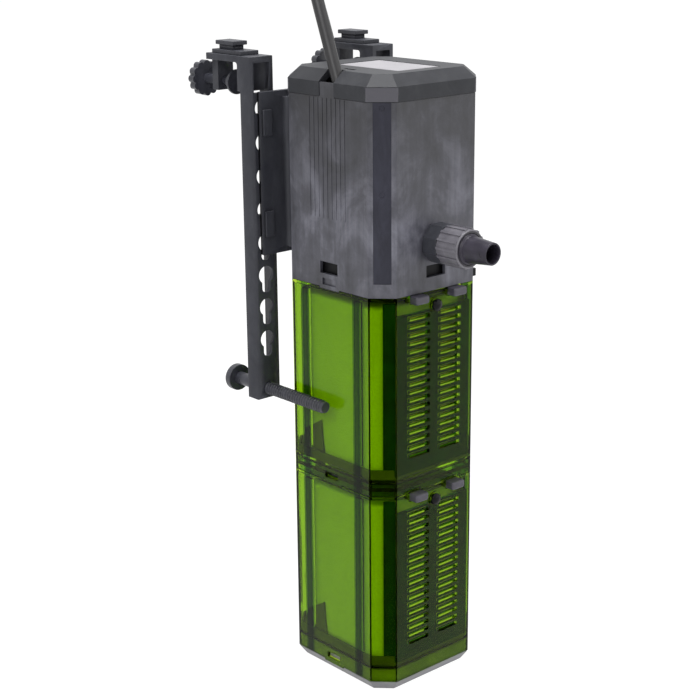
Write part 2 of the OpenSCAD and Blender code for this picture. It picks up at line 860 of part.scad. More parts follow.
module bracket_plate() {
    pad = 17;
    color([0.15, 0.15, 0.18]) difference() {
        union() {
            box([-plate_half, plate_y0, plate_z0], [plate_half, plate_y1, plate_z1]);
            box([-neck_half, rear_y - 6, plate_z0 + 4], [neck_half, plate_y0 + eps, plate_z1 - 4]);
        }
        prism(0, plate_z0 - 1, plate_z1 + 1);
        for (sx = [-1, 1], z = stud_z) rod_y(sx * arm_x, z, plate_y0 - 1, plate_y1 + 1, stud_r);
        at_plate_screws() translate([0, -1, 0]) rotate([-90, 0, 0])
            cylinder(r = plate_screw_r, h = plate_y1 - rear_y + 2);
    }
}

module plate_screws() {
    color("silver") at_plate_screws() {
        translate([0, -0.5 - wall, 0]) rotate([-90, 0, 0])
            cylinder(r = plate_screw_r, h = plate_y1 - rear_y + wall + eps);
        translate([0, plate_y1 - rear_y - 0.5, 0]) rotate([-90, 0, 0]) cylinder(r = 3.6, h = 2.4);
    }
}

// Clip studs: a pad in front of the plate, a shank through plate and keyhole, a head behind the arm
module arm_studs() {
    pad = [7, 2, 17];
    head_y = arm_y0 + web_t + gap;
    color([0.13, 0.13, 0.15]) for (sx = [-1, 1], z = stud_z) {
        translate([sx * arm_x - pad[0] / 2, plate_y0 - pad[1], z - pad[2] / 2]) cube(pad);
        rod_y(sx * arm_x, z, plate_y0 - eps, head_y + eps, stud_r);
        rod_y(sx * arm_x, z, head_y, head_y + stud_head_t, stud_head_r);
    }
}

module arm_keyholes() {
    for (i = [0 : key_count - 1]) {
        z = stud_z[0] - i * key_pitch;
        slot_r = stud_r + 0.4;
        rod_y(0, z, arm_y0 - 1, arm_y0 + web_t + 1, slot_r);
        rod_y(0, z + key_drop, arm_y0 - 1, arm_y0 + web_t + 1, key_r);
        box([-slot_r, arm_y0 - 1, z], [slot_r, arm_y0 + web_t + 1, z + key_drop]);
    }
}

// One hook arm, drawn about its own middle plane
module arm() {
    half = arm_w / 2;
    fillet = 2;
    flange_half = half - flange_in;
    fillet_z = block_z1 - bar_t - fillet;
    window = 13;
    difference() {
        union() {
            box([-half, arm_y0, arm_foot], [half, arm_y1, block_z0 + 1]);
            box([-half, block_y0, block_z0], [half, block_y1, block_z1]);
            box([-half, block_y0, block_z1 - bar_t], [half, bar_end, block_z1]);
            box([-flange_half, flange_y0, flange_z0], [flange_half, flange_y1, block_z1 - 1]);
            difference() {
                box([-half, block_y1 - 1, fillet_z], [half, block_y1 + fillet, block_z1 - 1]);
                translate([-half - 1, block_y1 + fillet, fillet_z]) rotate([0, 90, 0])
                    cylinder(r = fillet, h = arm_w + 2);
            }
        }
        box([rail_t - half, arm_y0 + web_t, arm_foot + foot_block], [half - rail_t, arm_y1 + 1, block_z0]);
        arm_keyholes();
        box([-window / 2, block_y0 - 1, block_z0 - 0.5], [window / 2, block_y0 + 7, block_z1 - 4]);
        rod_y(0, clamp_z, flange_y0 - 1, flange_y1 + 1, clamp_d / 2 + run_gap);
        rod_y(0, spacer_z, arm_y0 - 1, arm_y1 + 1, spacer_d / 2 + run_gap);
    }
}

// Stepped T-shaped rest on top of a hook
module rest_cap() {
    step_z = block_z1 + 2.7;
    neck_z = step_z + 3;
    cap_z = neck_z + 2.7;
    mid_y = block_y0 + 31;
    box([-7.4, block_y0 + 11.5, block_z1], [7.4, bar_end - 4, step_z]);
    box([-4.4, mid_y - 7.6, step_z - eps], [4.4, mid_y + 7.6, neck_z]);
    box([-6, mid_y - 9.5, neck_z - eps], [6, mid_y + 9.5, cap_z]);
}

module clamp_pad() {
    y1 = pad_y0 + pad_t;
    difference() {
        union() {
            rod_y(0, clamp_z, pad_y0, pad_y0 + disc_t, pad_d / 2);
            rod_y(0, clamp_z, pad_y0 + disc_t - eps, y1, clamp_d / 2 + 2.2);
        }
        rod_y(0, clamp_z, y1 - tip_l, y1 + 1, clamp_d / 2 + run_gap);
    }
}

module clamp_screw() {
    lobes = 12;
    lobe_r = 2.6;
    tip_y = pad_y0 + pad_t - tip_l + gap;
    rod_y(0, clamp_z, tip_y, knob_y0 + 1, clamp_d / 2);
    rod_y(0, clamp_z, knob_y0, knob_y0 + knob_t, knob_d / 2 - lobe_r + 1.2);
    for (i = [0 : lobes - 1])
        translate([0, 0, clamp_z]) rotate([0, i * 360 / lobes, 0])
            rod_y(knob_d / 2 - lobe_r, 0, knob_y0, knob_y0 + knob_t, lobe_r);
}

module spacer_foot() {
    difference() {
        rod_y(0, spacer_z, foot_y0, foot_y0 + foot_t, foot_d / 2);
        rod_y(0, spacer_z, foot_y0 - 1, foot_y0 + foot_t - 1.5, spacer_pin_r + run_gap);
    }
}

// Threaded rod: ring grooves stand for the thread's form
module spacer_screw() {
    r = spacer_d / 2;
    pitch = 2.5;
    deep = 0.6;
    y0 = foot_y0 - spacer_l;
    turns = floor((arm_y0 - 2 - y0 - 4) / pitch);
    grooves = [
        for (i = [0 : turns - 1], k = [0, 0.4, 0.8]) [k == 0.4 ? r - deep : r, y0 + 3 + (i + k) * pitch]
    ];
    shoulder = foot_y0 - gap;
    pin_end = foot_y0 + foot_t - 2;
    translate([0, 0, spacer_z]) rotate([-90, 0, 0]) rotate_extrude() polygon(concat(
        [[0, y0], [r - 1, y0], [r, y0 + 1.5]],
        grooves,
        [[r, shoulder], [spacer_pin_r, shoulder], [spacer_pin_r, pin_end], [0, pin_end]]
    ));
}

module left() {
    translate([-arm_x, 0, 0]) children();
}

module right() {
    translate([arm_x, 0, 0]) children();
}

arm_colour = [0.2, 0.2, 0.22];
screw_colour = [0.17, 0.17, 0.19];

// Mains lead

// Tube of round section swept along points, with rings square to the route
function unit(v) = v / norm(v);
function route_tangent(p, i) = unit(p[min(i + 1, len(p) - 1)] - p[max(i - 1, 0)]);
function ring_axes(t) = let (a = unit(cross(t, [1, 0.2, 0]))) [a, cross(t, a)];
// Point at u of the smooth curve between p[i] and p[i + 1]
function smooth(p, i, u) =
    let (
        n = len(p) - 1,
        a = p[max(i - 1, 0)], b = p[i], c = p[i + 1], d = p[min(i + 2, n)]
    )
    0.5 * (2 * b + (c - a) * u + (2 * a - 5 * b + 4 * c - d) * u * u + (3 * b - a - 3 * c + d) * u * u * u);

module tube(points, d, sides = 10) {
    n = len(points);
    rings = [for (i = [0 : n - 1]) let (
        t = i == 0 ? unit(cord_dir) : route_tangent(points, i),
        ax = ring_axes(t)
    ) for (k = [0 : sides - 1]) let (turn = 360 * k / sides)
        points[i] + d / 2 * (cos(turn) * ax[0] + sin(turn) * ax[1])];
    faces = [
        [for (k = [0 : sides - 1]) k],
        for (i = [0 : n - 2], k = [0 : sides - 1]) let (a = i * sides, b = a + sides, m = (k + 1) % sides)
            [a + k, b + k, b + m, a + m],
        [for (k = [sides - 1 : -1 : 0]) (n - 1) * sides + k]
    ];
    polyhedron(rings, faces, convexity = 8);
}

// Round body of the gland along the lead, spare wider and rise longer than the gland itself
module gland_shape(spare = 0, rise = 0) {
    gland_l = 6;
    lean = atan2(cord_dir[1], cord_dir[2]);
    translate(cord_exit) rotate([-lean, 0, 0]) translate([0, 0, -gland_l])
        cylinder(r = cord_d / 2 + 0.4 + spare, h = gland_l + rise);
}

module cord_gland() {
    color("black") gland_shape();
}

module power_cord() {
    n = len(cord_route);
    path = [for (i = [0 : n - 2], u = [0, 0.5]) smooth(cord_route, i, u), cord_route[n - 1]];
    color([0.22, 0.22, 0.23]) tube(path, cord_d);
}

module cord_coil() {
    color([0.22, 0.22, 0.23]) translate([coil_c[0], coil_c[1], 0]) rotate_extrude()
        translate([coil_r - coil_half, 0]) square([2 * coil_half, coil_h]);
}

module cord_tie() {
    t = 1;
    half = 4;
    room = 0.15;
    inner = sqrt(pow(coil_r - coil_half, 2) - half * half) - room;
    outer = coil_r + coil_half + room;
    color("black") translate([coil_c[0], coil_c[1], 0]) rotate([0, 0, 40]) difference() {
        box([inner - t, -half, room], [outer + t, half, coil_h + t]);
        box([inner, -half - 1, -1], [outer, half + 1, coil_h + 0.05]);
    }
}

// Local frame of the plug: origin on the coil's outer turn, X along the plug, Y across it, Z up
module at_plug() {
    across = coil_r + cord_d / 2;
    translate([coil_c[0], coil_c[1], 0]) rotate([0, 0, plug_dir]) translate([0, across, 0]) children();
}

relief_r = cord_d / 2 + 0.3;
relief_x = sqrt(pow(coil_r + coil_half, 2) - pow(coil_r + cord_d / 2 - relief_r, 2)) + 0.8;
relief_l = 20;
plug_l = 36;
plug_w = 35;
plug_t = 13.7;

module plug_body() {
    waist = 16;
    color([0.2, 0.2, 0.21]) at_plug() {
        translate([relief_x, 0, plug_t / 2]) rotate([0, 90, 0])
            cylinder(r1 = relief_r, r2 = 6.2, h = relief_l + eps);
        translate([relief_x + relief_l, 0, 0]) linear_extrude(plug_t)
            polygon([[0, -waist / 2], [plug_l, -plug_w / 2], [plug_l, plug_w / 2], [0, waist / 2]]);
    }
}

module plug_pins() {
    pin_l = 19;
    color("gold") at_plug() for (sy = [-1, 1])
        translate([relief_x + relief_l + plug_l, sy * 9.5, plug_t / 2]) rotate([0, 90, 0])
            cylinder(d = 4, h = pin_l);
}

// One line for each piece
base_plate();
shell(z_low);  // lower_shell
core_tube(z_low);  // lower_core_tube
foam(z_low);  // lower_foam
intake_grid(z_low);  // lower_intake_grid
catch_slide(z_low);  // lower_catch
keyhole_plug(z_low);  // lower_plug
rim_seal(z_low);  // lower_seal
shell(z_mid);  // upper_shell
core_tube(z_mid);  // upper_core_tube
foam(z_mid);  // upper_foam
intake_grid(z_mid);  // upper_intake_grid
catch_slide(z_mid);  // upper_catch
keyhole_plug(z_mid);  // upper_plug
rim_seal(z_mid);  // upper_seal
pump_housing();
window_screens();
lid();
label_plate();
corner_strips();
strip_pins();
pump_chamber();
chamber_cover();
chamber_screws();
rotor_can();
motor_case();
stator_core();
stator_coils();
rotor_shaft();
shaft_bushes();
rotor_magnet();
impeller();
flow_slide();
outlet_socket();
collar_nut();
nozzle_seal();
nozzle();
bracket_plate();
plate_screws();
arm_studs();
color(arm_colour) left() arm();  // left_arm
color(arm_colour) left() rest_cap();  // left_rest_cap
color(screw_colour) left() clamp_pad();  // left_clamp_pad
color(screw_colour) left() clamp_screw();  // left_clamp_screw
color(screw_colour) left() spacer_foot();  // left_spacer_foot
color(screw_colour) left() spacer_screw();  // left_spacer_screw
color(arm_colour) right() arm();  // right_arm
color(arm_colour) right() rest_cap();  // right_rest_cap
color(screw_colour) right() clamp_pad();  // right_clamp_pad
color(screw_colour) right() clamp_screw();  // right_clamp_screw
color(screw_colour) right() spacer_foot();  // right_spacer_foot
color(screw_colour) right() spacer_screw();  // right_spacer_screw
cord_gland();
power_cord();
cord_coil();
cord_tie();
plug_body();
plug_pins();
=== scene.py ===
# %% [markdown]
# # A power filter for an aquarium
# The object is a grey pump head on two clear green filter modules, hung on the tank's rim by two slotted
# arms. The solids come from CAD as a fixed frame. This lesson dresses them: rounded edges, a mains lead,
# foam, threads, and a finish for each plastic. Each piece but the lead rides on the CAD body it belongs to.

# %% Load the frame
import bpy
import bmesh
import json
import math
from mathutils import Matrix, Vector, noise


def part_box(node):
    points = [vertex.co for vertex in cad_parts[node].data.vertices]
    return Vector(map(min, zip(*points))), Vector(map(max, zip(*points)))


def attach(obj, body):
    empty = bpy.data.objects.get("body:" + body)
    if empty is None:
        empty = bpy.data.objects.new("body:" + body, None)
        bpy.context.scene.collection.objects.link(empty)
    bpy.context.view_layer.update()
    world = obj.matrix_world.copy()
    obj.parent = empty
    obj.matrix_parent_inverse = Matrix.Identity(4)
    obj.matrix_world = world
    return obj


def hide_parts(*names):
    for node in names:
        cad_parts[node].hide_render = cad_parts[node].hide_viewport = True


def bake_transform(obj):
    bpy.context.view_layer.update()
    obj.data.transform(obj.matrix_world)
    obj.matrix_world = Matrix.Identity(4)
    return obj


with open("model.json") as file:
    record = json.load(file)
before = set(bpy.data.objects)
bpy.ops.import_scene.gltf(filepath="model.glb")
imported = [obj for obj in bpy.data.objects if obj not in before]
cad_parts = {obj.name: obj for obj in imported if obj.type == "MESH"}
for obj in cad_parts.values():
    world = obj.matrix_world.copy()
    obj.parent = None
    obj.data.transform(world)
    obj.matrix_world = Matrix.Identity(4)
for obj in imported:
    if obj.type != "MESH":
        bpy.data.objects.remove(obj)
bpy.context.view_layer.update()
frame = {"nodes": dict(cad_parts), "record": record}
nodes = frame["nodes"]
scene = bpy.context.scene
MM = 0.001

# %% [markdown]
# ## Camera
# A product photograph is taken with a long lens, so its upright edges stay nearly parallel. The turn, height
# and lens here were fitted to the straight edges of the body. The camera is set from its three axes, because
# a small roll is then one more angle and not a second step.

# %% Place the camera
TURN, RISE, ROLL = -41.644, 16.479, -0.531
FOCAL_LENGTH = 79.964
CAMERA_PLACE = (-0.68995, -0.74242, 0.52624)

turn, rise, roll = (math.radians(a) for a in (TURN, RISE, ROLL))
back = Vector((math.sin(turn) * math.cos(rise), -math.cos(turn) * math.cos(rise), math.sin(rise)))
across = Vector((math.cos(turn), math.sin(turn), 0))
upward = back.cross(across)
camera_x = math.cos(roll) * across + math.sin(roll) * upward
camera_y = math.cos(roll) * upward - math.sin(roll) * across
lens = bpy.data.cameras.new("camera")
lens.sensor_width = 36
lens.sensor_fit = "HORIZONTAL"
lens.lens = FOCAL_LENGTH
lens.clip_start = 0.05
camera = bpy.data.objects.new("camera", lens)
scene.collection.objects.link(camera)
axes = Matrix((camera_x, camera_y, back)).transposed().to_4x4()
camera.matrix_world = Matrix.Translation(CAMERA_PLACE) @ axes
scene.camera = camera
print("camera", [round(v, 3) for v in camera.location])

# %% [markdown]
# ## Node helper and colours
# Colours are written as sRGB hex values, as a designer picks them, and turned to linear light here. One
# helper adds a node: keyword settings are the node's own properties, and `inputs` holds values or links.

# %% Helpers for materials
def linear(code):
    parts = [int(code[i:i + 2], 16) / 255 for i in (1, 3, 5)]
    return tuple(v / 12.92 if v <= 0.04045 else ((v + 0.055) / 1.055) ** 2.4 for v in parts) + (1.0,)


def add(tree, kind, inputs=None, **settings):
    made = tree.nodes.new(kind)
    for key, value in settings.items():
        setattr(made, key, value)
    for key, value in (inputs or {}).items():
        if isinstance(value, bpy.types.NodeSocket):
            tree.links.new(value, made.inputs[key])
        else:
            made.inputs[key].default_value = value
    return made


def new_finish(name):
    material = bpy.data.materials.new(name)
    material.use_nodes = True
    material.node_tree.nodes.clear()
    return material, material.node_tree


def per_metre(size_mm):
    return 1000 / size_mm


# %% [markdown]
# ## Moulded plastic
# Nearly all of the object is injection-moulded ABS. The mould's texture gives a fine grain, the pigment
# mixes unevenly into soft clouds, and the melt leaves upright streaks where it ran. One recipe holds these
# three layers, and each finish sets its own colours and sizes in millimetres. The grain is drawn a little
# coarser than the real 0.1 mm, so that it shows at all. Two more layers are for single pieces. `ends` paints
# shade onto the pump head near its lower and upper edge. `spot` gives another colour to what a mask picks
# out by its place: a painted highlight on the lid's corner facets, painted shade in the mouth of a nut, and
# painted light on what lies behind slots.

# %% Painted shade at the ends of the pump head
FOOT_FADE, FOOT_SHADE = 22, 0.78
HEAD_FADE, HEAD_SHADE = 80, 0.31


def painted_shade_ends(tree, place, low, high):
    height = add(tree, "ShaderNodeSeparateXYZ", {0: place}).outputs["Z"]
    foot = add(tree, "ShaderNodeMapRange", {
        "Value": height, "From Min": low * MM, "From Max": (low + FOOT_FADE) * MM,
        "To Min": FOOT_SHADE, "To Max": 1.0})
    head = add(tree, "ShaderNodeMapRange", {
        "Value": height, "From Min": (high - HEAD_FADE) * MM, "From Max": high * MM,
        "To Min": 1.0, "To Max": HEAD_SHADE})
    both = add(tree, "ShaderNodeMath", {0: foot.outputs[0], 1: head.outputs[0]}, operation="MULTIPLY")
    return both.outputs[0]


# %% Masks for spots of painted highlight, shade and light
HIGHLIGHT_BORDER_SIZE, HIGHLIGHT_BORDER_DEPTH, HIGHLIGHT_FADE = 4, 1.2, 0.6


# A highlight is painted on the lid's upright corner facets that this picks, with a ragged border.
def corner_highlight_mask(tree, place, limit, below):
    """Picks the upright corner facets, where X and Y together pass the limit, with an uneven border."""
    parts = add(tree, "ShaderNodeSeparateXYZ", {0: place})
    wide = add(tree, "ShaderNodeMath", {0: parts.outputs["X"]}, operation="ABSOLUTE")
    far = add(tree, "ShaderNodeMath", {0: parts.outputs["Y"]}, operation="ABSOLUTE")
    both = add(tree, "ShaderNodeMath", {0: wide.outputs[0], 1: far.outputs[0]}, operation="ADD")
    ragged = add(tree, "ShaderNodeTexNoise", {"Vector": place, "Scale": per_metre(HIGHLIGHT_BORDER_SIZE), "Detail": 3})
    edge = add(tree, "ShaderNodeMath", {0: ragged.outputs["Fac"], 1: HIGHLIGHT_BORDER_DEPTH * MM, 2: both.outputs[0]},
               operation="MULTIPLY_ADD")
    facet = add(tree, "ShaderNodeMapRange", {
        "Value": edge.outputs[0], "From Min": limit * MM, "From Max": (limit + HIGHLIGHT_FADE) * MM})
    under = add(tree, "ShaderNodeMath", {0: parts.outputs["Z"], 1: below * MM}, operation="LESS_THAN")
    picked = add(tree, "ShaderNodeMath", {0: facet.outputs[0], 1: under.outputs[0]}, operation="MULTIPLY")
    return picked.outputs[0]


# Shade is painted into the nut's mouth, within this radius of the outlet's axis.
def mouth_shade_mask(tree, place, height, radius):
    """Picks what is within a radius of the outlet's axis, which lies along Y."""
    flat = add(tree, "ShaderNodeMapping", {
        "Vector": place, "Location": (0, 0, -height * MM), "Scale": (1, 0, 1)})
    away = add(tree, "ShaderNodeVectorMath", {0: flat.outputs[0]}, operation="LENGTH")
    picked = add(tree, "ShaderNodeMath", {0: away.outputs["Value"], 1: radius * MM}, operation="LESS_THAN")
    return picked.outputs[0]


# Light is painted on what lies behind the slots.
def lit_slot_mask(tree, place, half, behind):
    """Picks what lies behind the slots: near the middle, and deeper than the front of the piece."""
    parts = add(tree, "ShaderNodeSeparateXYZ", {0: place})
    wide = add(tree, "ShaderNodeMath", {0: parts.outputs["X"]}, operation="ABSOLUTE")
    near = add(tree, "ShaderNodeMath", {0: wide.outputs[0], 1: half * MM}, operation="LESS_THAN")
    deep = add(tree, "ShaderNodeMath", {0: parts.outputs["Y"], 1: behind * MM}, operation="GREATER_THAN")
    picked = add(tree, "ShaderNodeMath", {0: near.outputs[0], 1: deep.outputs[0]}, operation="MULTIPLY")
    return picked.outputs[0]


# %% A recipe for moulded plastic
ABS_INDEX = 1.53
STREAK_SIZE, STREAK_STRETCH = 4, 0.1
GRAIN_SHADE = 0.14
GLOSS_SWING = 0.06


def moulded(name, dark, middle, pale, cloud=9, stretch=1.0, grain=0.6, rough=0.45, relief=0.03, spread=0.5,
            streak=0.0, ends=None, spot=None, shine=0.5):
    material, tree = new_finish(name)
    place = add(tree, "ShaderNodeTexCoord").outputs["Object"]
    drawn = add(tree, "ShaderNodeMapping", {"Vector": place, "Scale": (1, 1, stretch)}).outputs[0]
    clouds = add(tree, "ShaderNodeTexNoise", {
        "Vector": drawn, "Scale": per_metre(cloud), "Detail": 5, "Roughness": 0.62, "Distortion": 0.4})
    upright = add(tree, "ShaderNodeMapping", {"Vector": place, "Scale": (1, 1, STREAK_STRETCH)}).outputs[0]
    lines = add(tree, "ShaderNodeTexNoise", {"Vector": upright, "Scale": per_metre(STREAK_SIZE), "Detail": 5})
    mixed = add(tree, "ShaderNodeMix", {0: streak, 2: clouds.outputs["Fac"], 3: lines.outputs["Fac"]})
    ramp = add(tree, "ShaderNodeValToRGB", {"Fac": mixed.outputs[0]})
    ramp.color_ramp.elements[0].position = 0.5 - spread / 2
    ramp.color_ramp.elements[0].color = linear(dark)
    ramp.color_ramp.elements[1].position = 0.5 + spread / 2
    ramp.color_ramp.elements[1].color = linear(pale)
    ramp.color_ramp.elements.new(0.5).color = linear(middle)
    specks = add(tree, "ShaderNodeTexNoise", {"Vector": place, "Scale": per_metre(grain), "Detail": 2})
    shade = add(tree, "ShaderNodeMapRange", {
        "Value": specks.outputs["Fac"], "To Min": 1 - GRAIN_SHADE, "To Max": 1 + GRAIN_SHADE})
    colour = add(tree, "ShaderNodeVectorMath", {0: ramp.outputs["Color"], 1: shade.outputs[0]},
                 operation="MULTIPLY").outputs[0]
    if ends:
        colour = add(tree, "ShaderNodeVectorMath", {0: colour, 1: painted_shade_ends(tree, place, *ends)},
                     operation="MULTIPLY").outputs[0]
    if spot:
        mask, sizes, other = spot
        colour = add(tree, "ShaderNodeMix", {
            0: mask(tree, place, *sizes), 6: colour, 7: linear(other)}, data_type="RGBA").outputs[2]
    gloss = add(tree, "ShaderNodeMapRange", {
        "Value": clouds.outputs["Fac"], "From Min": 0.3, "From Max": 0.7,
        "To Min": rough - GLOSS_SWING, "To Max": rough + GLOSS_SWING})
    bump = add(tree, "ShaderNodeBump", {
        "Strength": 0.5, "Distance": relief * MM, "Height": specks.outputs["Fac"]})
    surface = add(tree, "ShaderNodeBsdfPrincipled", {
        "Base Color": colour, "Roughness": gloss.outputs[0], "Normal": bump.outputs[0], "IOR": ABS_INDEX,
        "Specular IOR Level": shine})
    add(tree, "ShaderNodeOutputMaterial", {"Surface": surface.outputs[0]})
    return material


# %% [markdown]
# ## The object's plastics
# The pump housing has strong clouds with upright streaks, where the melt ran along the mould. The lid is a
# finer matt black-grey, the brackets are darker and even, and the collar nut is a pale grey. Each row gives
# three colours from dark to pale, and then only what differs from the recipe.

# %% Mix the plastics that show
HEAD_FOOT, HEAD_TOP = 278, 402
LID_CORNER, LID_BEVEL = 84.9, 410.5
OUTLET_HEIGHT, MOUTH_RADIUS = 309.5, 11.5
SLOTS_HALF, GRID_FRONT = 24, -47.4

finishes = {
    # Uneven pigment and flow streaks look like weathered slate; shade is painted on near the foot and,
    # darker, under the lid.
    "head_plastic": moulded("mottled_grey_ABS_moulded", "#26262d", "#4a4a53", "#757580", cloud=30,
                            stretch=0.85, grain=0.8, rough=0.46, spread=0.34, streak=0.2,
                            ends=(HEAD_FOOT, HEAD_TOP)),
    # An even, pale grey, which the floor lights from below.
    "base_plastic": moulded("pale_grey_ABS_base", "#6a696e", "#7a797e", "#8b8a8f", cloud=14, grain=0.7,
                            rough=0.46),
    # Finer and duller than the head, with a highlight painted on its upright corner facets.
    "lid_plastic": moulded("fine_matt_ABS_moulded", "#2a2b2e", "#323337", "#3d3e41", cloud=18, rough=0.5,
                           shine=0.18, spot=(corner_highlight_mask, (LID_CORNER, LID_BEVEL), "#56555b")),
    # Drawn out along the strip, so that it is a quiet dark band.
    "strip_plastic": moulded("satin_grey_ABS_strip", "#24242d", "#2d2d37", "#383844", cloud=12, stretch=0.4,
                             rough=0.42, shine=0.2),
    # Glass fibre leaves an even, dry surface.
    "bracket_plastic": moulded("glass_filled_nylon_moulded", "#2e2f36", "#38393f", "#44454c", cloud=16,
                               stretch=0.5, grain=0.7, rough=0.46, shine=0.25),
    # Turned acetal is smooth, so thread and knob carry thin bright lines.
    "screw_plastic": moulded("dark_acetal_turned", "#2a2b32", "#33343b", "#3f4048", rough=0.3, shine=0.4),
    # Black right through, and dull.
    "black_plastic": moulded("black_polypropylene_moulded", "#0c0c0e", "#121214", "#1c1c1f", shine=0.12),
    # A touch of lilac tells the tabs from the head.
    "catch_plastic": moulded("lilac_grey_ABS_catch", "#302e37", "#3a3842", "#474550", cloud=8, rough=0.42),
    # Pale grip ribs, with shade painted into the mouth.
    "nut_plastic": moulded("pale_grey_ABS_nut", "#56545b", "#66646b", "#78767d",
                           spot=(mouth_shade_mask, (OUTLET_HEIGHT, MOUTH_RADIUS), "#2a2830")),
    # Often handled, so it is smoother than the nut.
    "nozzle_plastic": moulded("semi_gloss_ABS_nozzle", "#29272f", "#322f39", "#403d48", grain=0.5, rough=0.33,
                              shine=0.22),
    # Deep green, with light painted in leaf green on what lies behind the slots.
    "dark_green": moulded("dark_green_SAN_grid", "#0b240e", "#103013", "#17401a", cloud=12, grain=0.8,
                          rough=0.4, shine=0.03, spot=(lit_slot_mask, (SLOTS_HALF, GRID_FRONT), "#5c9626")),
    # A matt film has almost no relief.
    "label": moulded("matt_film_label", "#8a888c", "#949296", "#a09ea2", cloud=30, grain=0.9, rough=0.55,
                     relief=0.01),
    # Smooth rubber gathers a lamp into one small spark.
    "black_rubber": moulded("black_nitrile_rubber_moulded", "#070709", "#0b0b0d", "#121214", cloud=6,
                            grain=0.5, rough=0.13, shine=0.12),
    # An extruded sheath has an even sheen along its length.
    "cord_sheath": moulded("black_PVC_sheath_extruded", "#121113", "#19181a", "#232224", cloud=7, rough=0.4),
}
print("finishes that show:", len(finishes))

# %% Mix the plastics and ceramics inside
# A plain grey, a waxy white, dull black ferrite and a glossy white ceramic, as inside any such pump.
finishes["inner_plastic"] = moulded("grey_polypropylene_inner", "#38383c", "#424247", "#4f4f54", cloud=16,
                                    grain=0.8)
finishes["white_plastic"] = moulded("white_acetal_impeller", "#c9c9c4", "#d6d6d2", "#e2e2de", cloud=10,
                                    rough=0.4)
finishes["ferrite"] = moulded("sintered_ferrite_ground", "#1c1c1f", "#242427", "#303034", cloud=5, grain=0.4,
                              rough=0.5)
finishes["ceramic"] = moulded("alumina_ceramic_ground", "#dcdad2", "#e6e4dc", "#efede6", cloud=6, grain=0.4,
                              rough=0.22, relief=0.01)
print("finishes so far:", len(finishes))

# %% [markdown]
# ## Metals
# Screws, laminations, windings and plug pins are metal. A metal's colour is its reflection, so Metallic is 1
# and the surface detail is in the roughness: fine drawn lines along the part.

# %% Mix the metals
LINE_STRETCH = 0.15
METAL_SWING = 0.1


def drawn_metal(name, dark, pale, line, rough):
    material, tree = new_finish(name)
    place = add(tree, "ShaderNodeTexCoord").outputs["Object"]
    drawn = add(tree, "ShaderNodeMapping", {"Vector": place, "Scale": (1, LINE_STRETCH, 1)}).outputs[0]
    lines = add(tree, "ShaderNodeTexNoise", {"Vector": drawn, "Scale": per_metre(line), "Detail": 3})
    colour = add(tree, "ShaderNodeMix", {0: lines.outputs["Fac"], 6: linear(dark), 7: linear(pale)},
                 data_type="RGBA")
    gloss = add(tree, "ShaderNodeMapRange", {
        "Value": lines.outputs["Fac"], "To Min": rough - METAL_SWING, "To Max": rough + METAL_SWING})
    surface = add(tree, "ShaderNodeBsdfPrincipled", {
        "Base Color": colour.outputs[2], "Roughness": gloss.outputs[0], "Metallic": 1.0})
    add(tree, "ShaderNodeOutputMaterial", {"Surface": surface.outputs[0]})
    return material


finishes["steel"] = drawn_metal("stainless_steel_rolled", "#8f9092", "#b9babb", line=0.5, rough=0.35)
finishes["lamination"] = drawn_metal("silicon_steel_stamped", "#6d6e72", "#8c8d90", line=0.6, rough=0.45)
finishes["copper"] = drawn_metal("copper_wire_enamelled", "#8a4a22", "#b5652f", line=0.5, rough=0.3)
finishes["plug_brass"] = drawn_metal("brass_pin_nickelled", "#a89a70", "#cbbd92", line=0.5, rough=0.28)
print("finishes so far:", len(finishes))

# %% [markdown]
# ## Clear green shell
# The module shells are clear SAN, tinted green in the mass. Light that goes through a wall twice, in and out,
# is what gives the strong colour, so the tint is set for one wall and the renderer does the rest. Three
# stretches get a darker tint, each picked out by its place: the upright ribs of the side walls, where the
# plastic is thick, and painted shade on the right front corner and on the cut walls of the slots. The index
# is set lower than real SAN's 1.57, with a dark specular tint, because the shells reflect very little. A
# lamp's shadow ray is let through as tinted light, so the foam inside is lit as behind real clear plastic.

# %% Masks for the shell's thick ribs and painted shade
RIB_MIDDLE, RIB_HALF, RIB_FROM = 25.5, 3.2, 43
CORNER_X, CORNER_Y = 40, -28
FRONT_MIDDLE, FRONT_HALF = -49.3, 0.95


# The ribs are darker because they are thick; on the right front corner the darker tint is painted shade.
def rib_and_shaded_corner_mask(tree, parts):
    """Picks the ribs of the side walls and the right front corner."""
    far = add(tree, "ShaderNodeMath", {0: parts.outputs["Y"]}, operation="ABSOLUTE")
    band = add(tree, "ShaderNodeMath", {0: far.outputs[0], 1: RIB_MIDDLE * MM, 2: RIB_HALF * MM},
               operation="COMPARE")
    wide = add(tree, "ShaderNodeMath", {0: parts.outputs["X"]}, operation="ABSOLUTE")
    side = add(tree, "ShaderNodeMath", {0: wide.outputs[0], 1: RIB_FROM * MM}, operation="GREATER_THAN")
    rib = add(tree, "ShaderNodeMath", {0: band.outputs[0], 1: side.outputs[0]}, operation="MULTIPLY")
    front = add(tree, "ShaderNodeMath", {0: parts.outputs["Y"], 1: CORNER_Y * MM}, operation="LESS_THAN")
    past = add(tree, "ShaderNodeMath", {0: parts.outputs["X"], 1: CORNER_X * MM}, operation="GREATER_THAN")
    post = add(tree, "ShaderNodeMath", {0: front.outputs[0], 1: past.outputs[0]}, operation="MULTIPLY")
    either = add(tree, "ShaderNodeMath", {0: rib.outputs[0], 1: post.outputs[0]}, operation="MAXIMUM")
    return either.outputs[0]


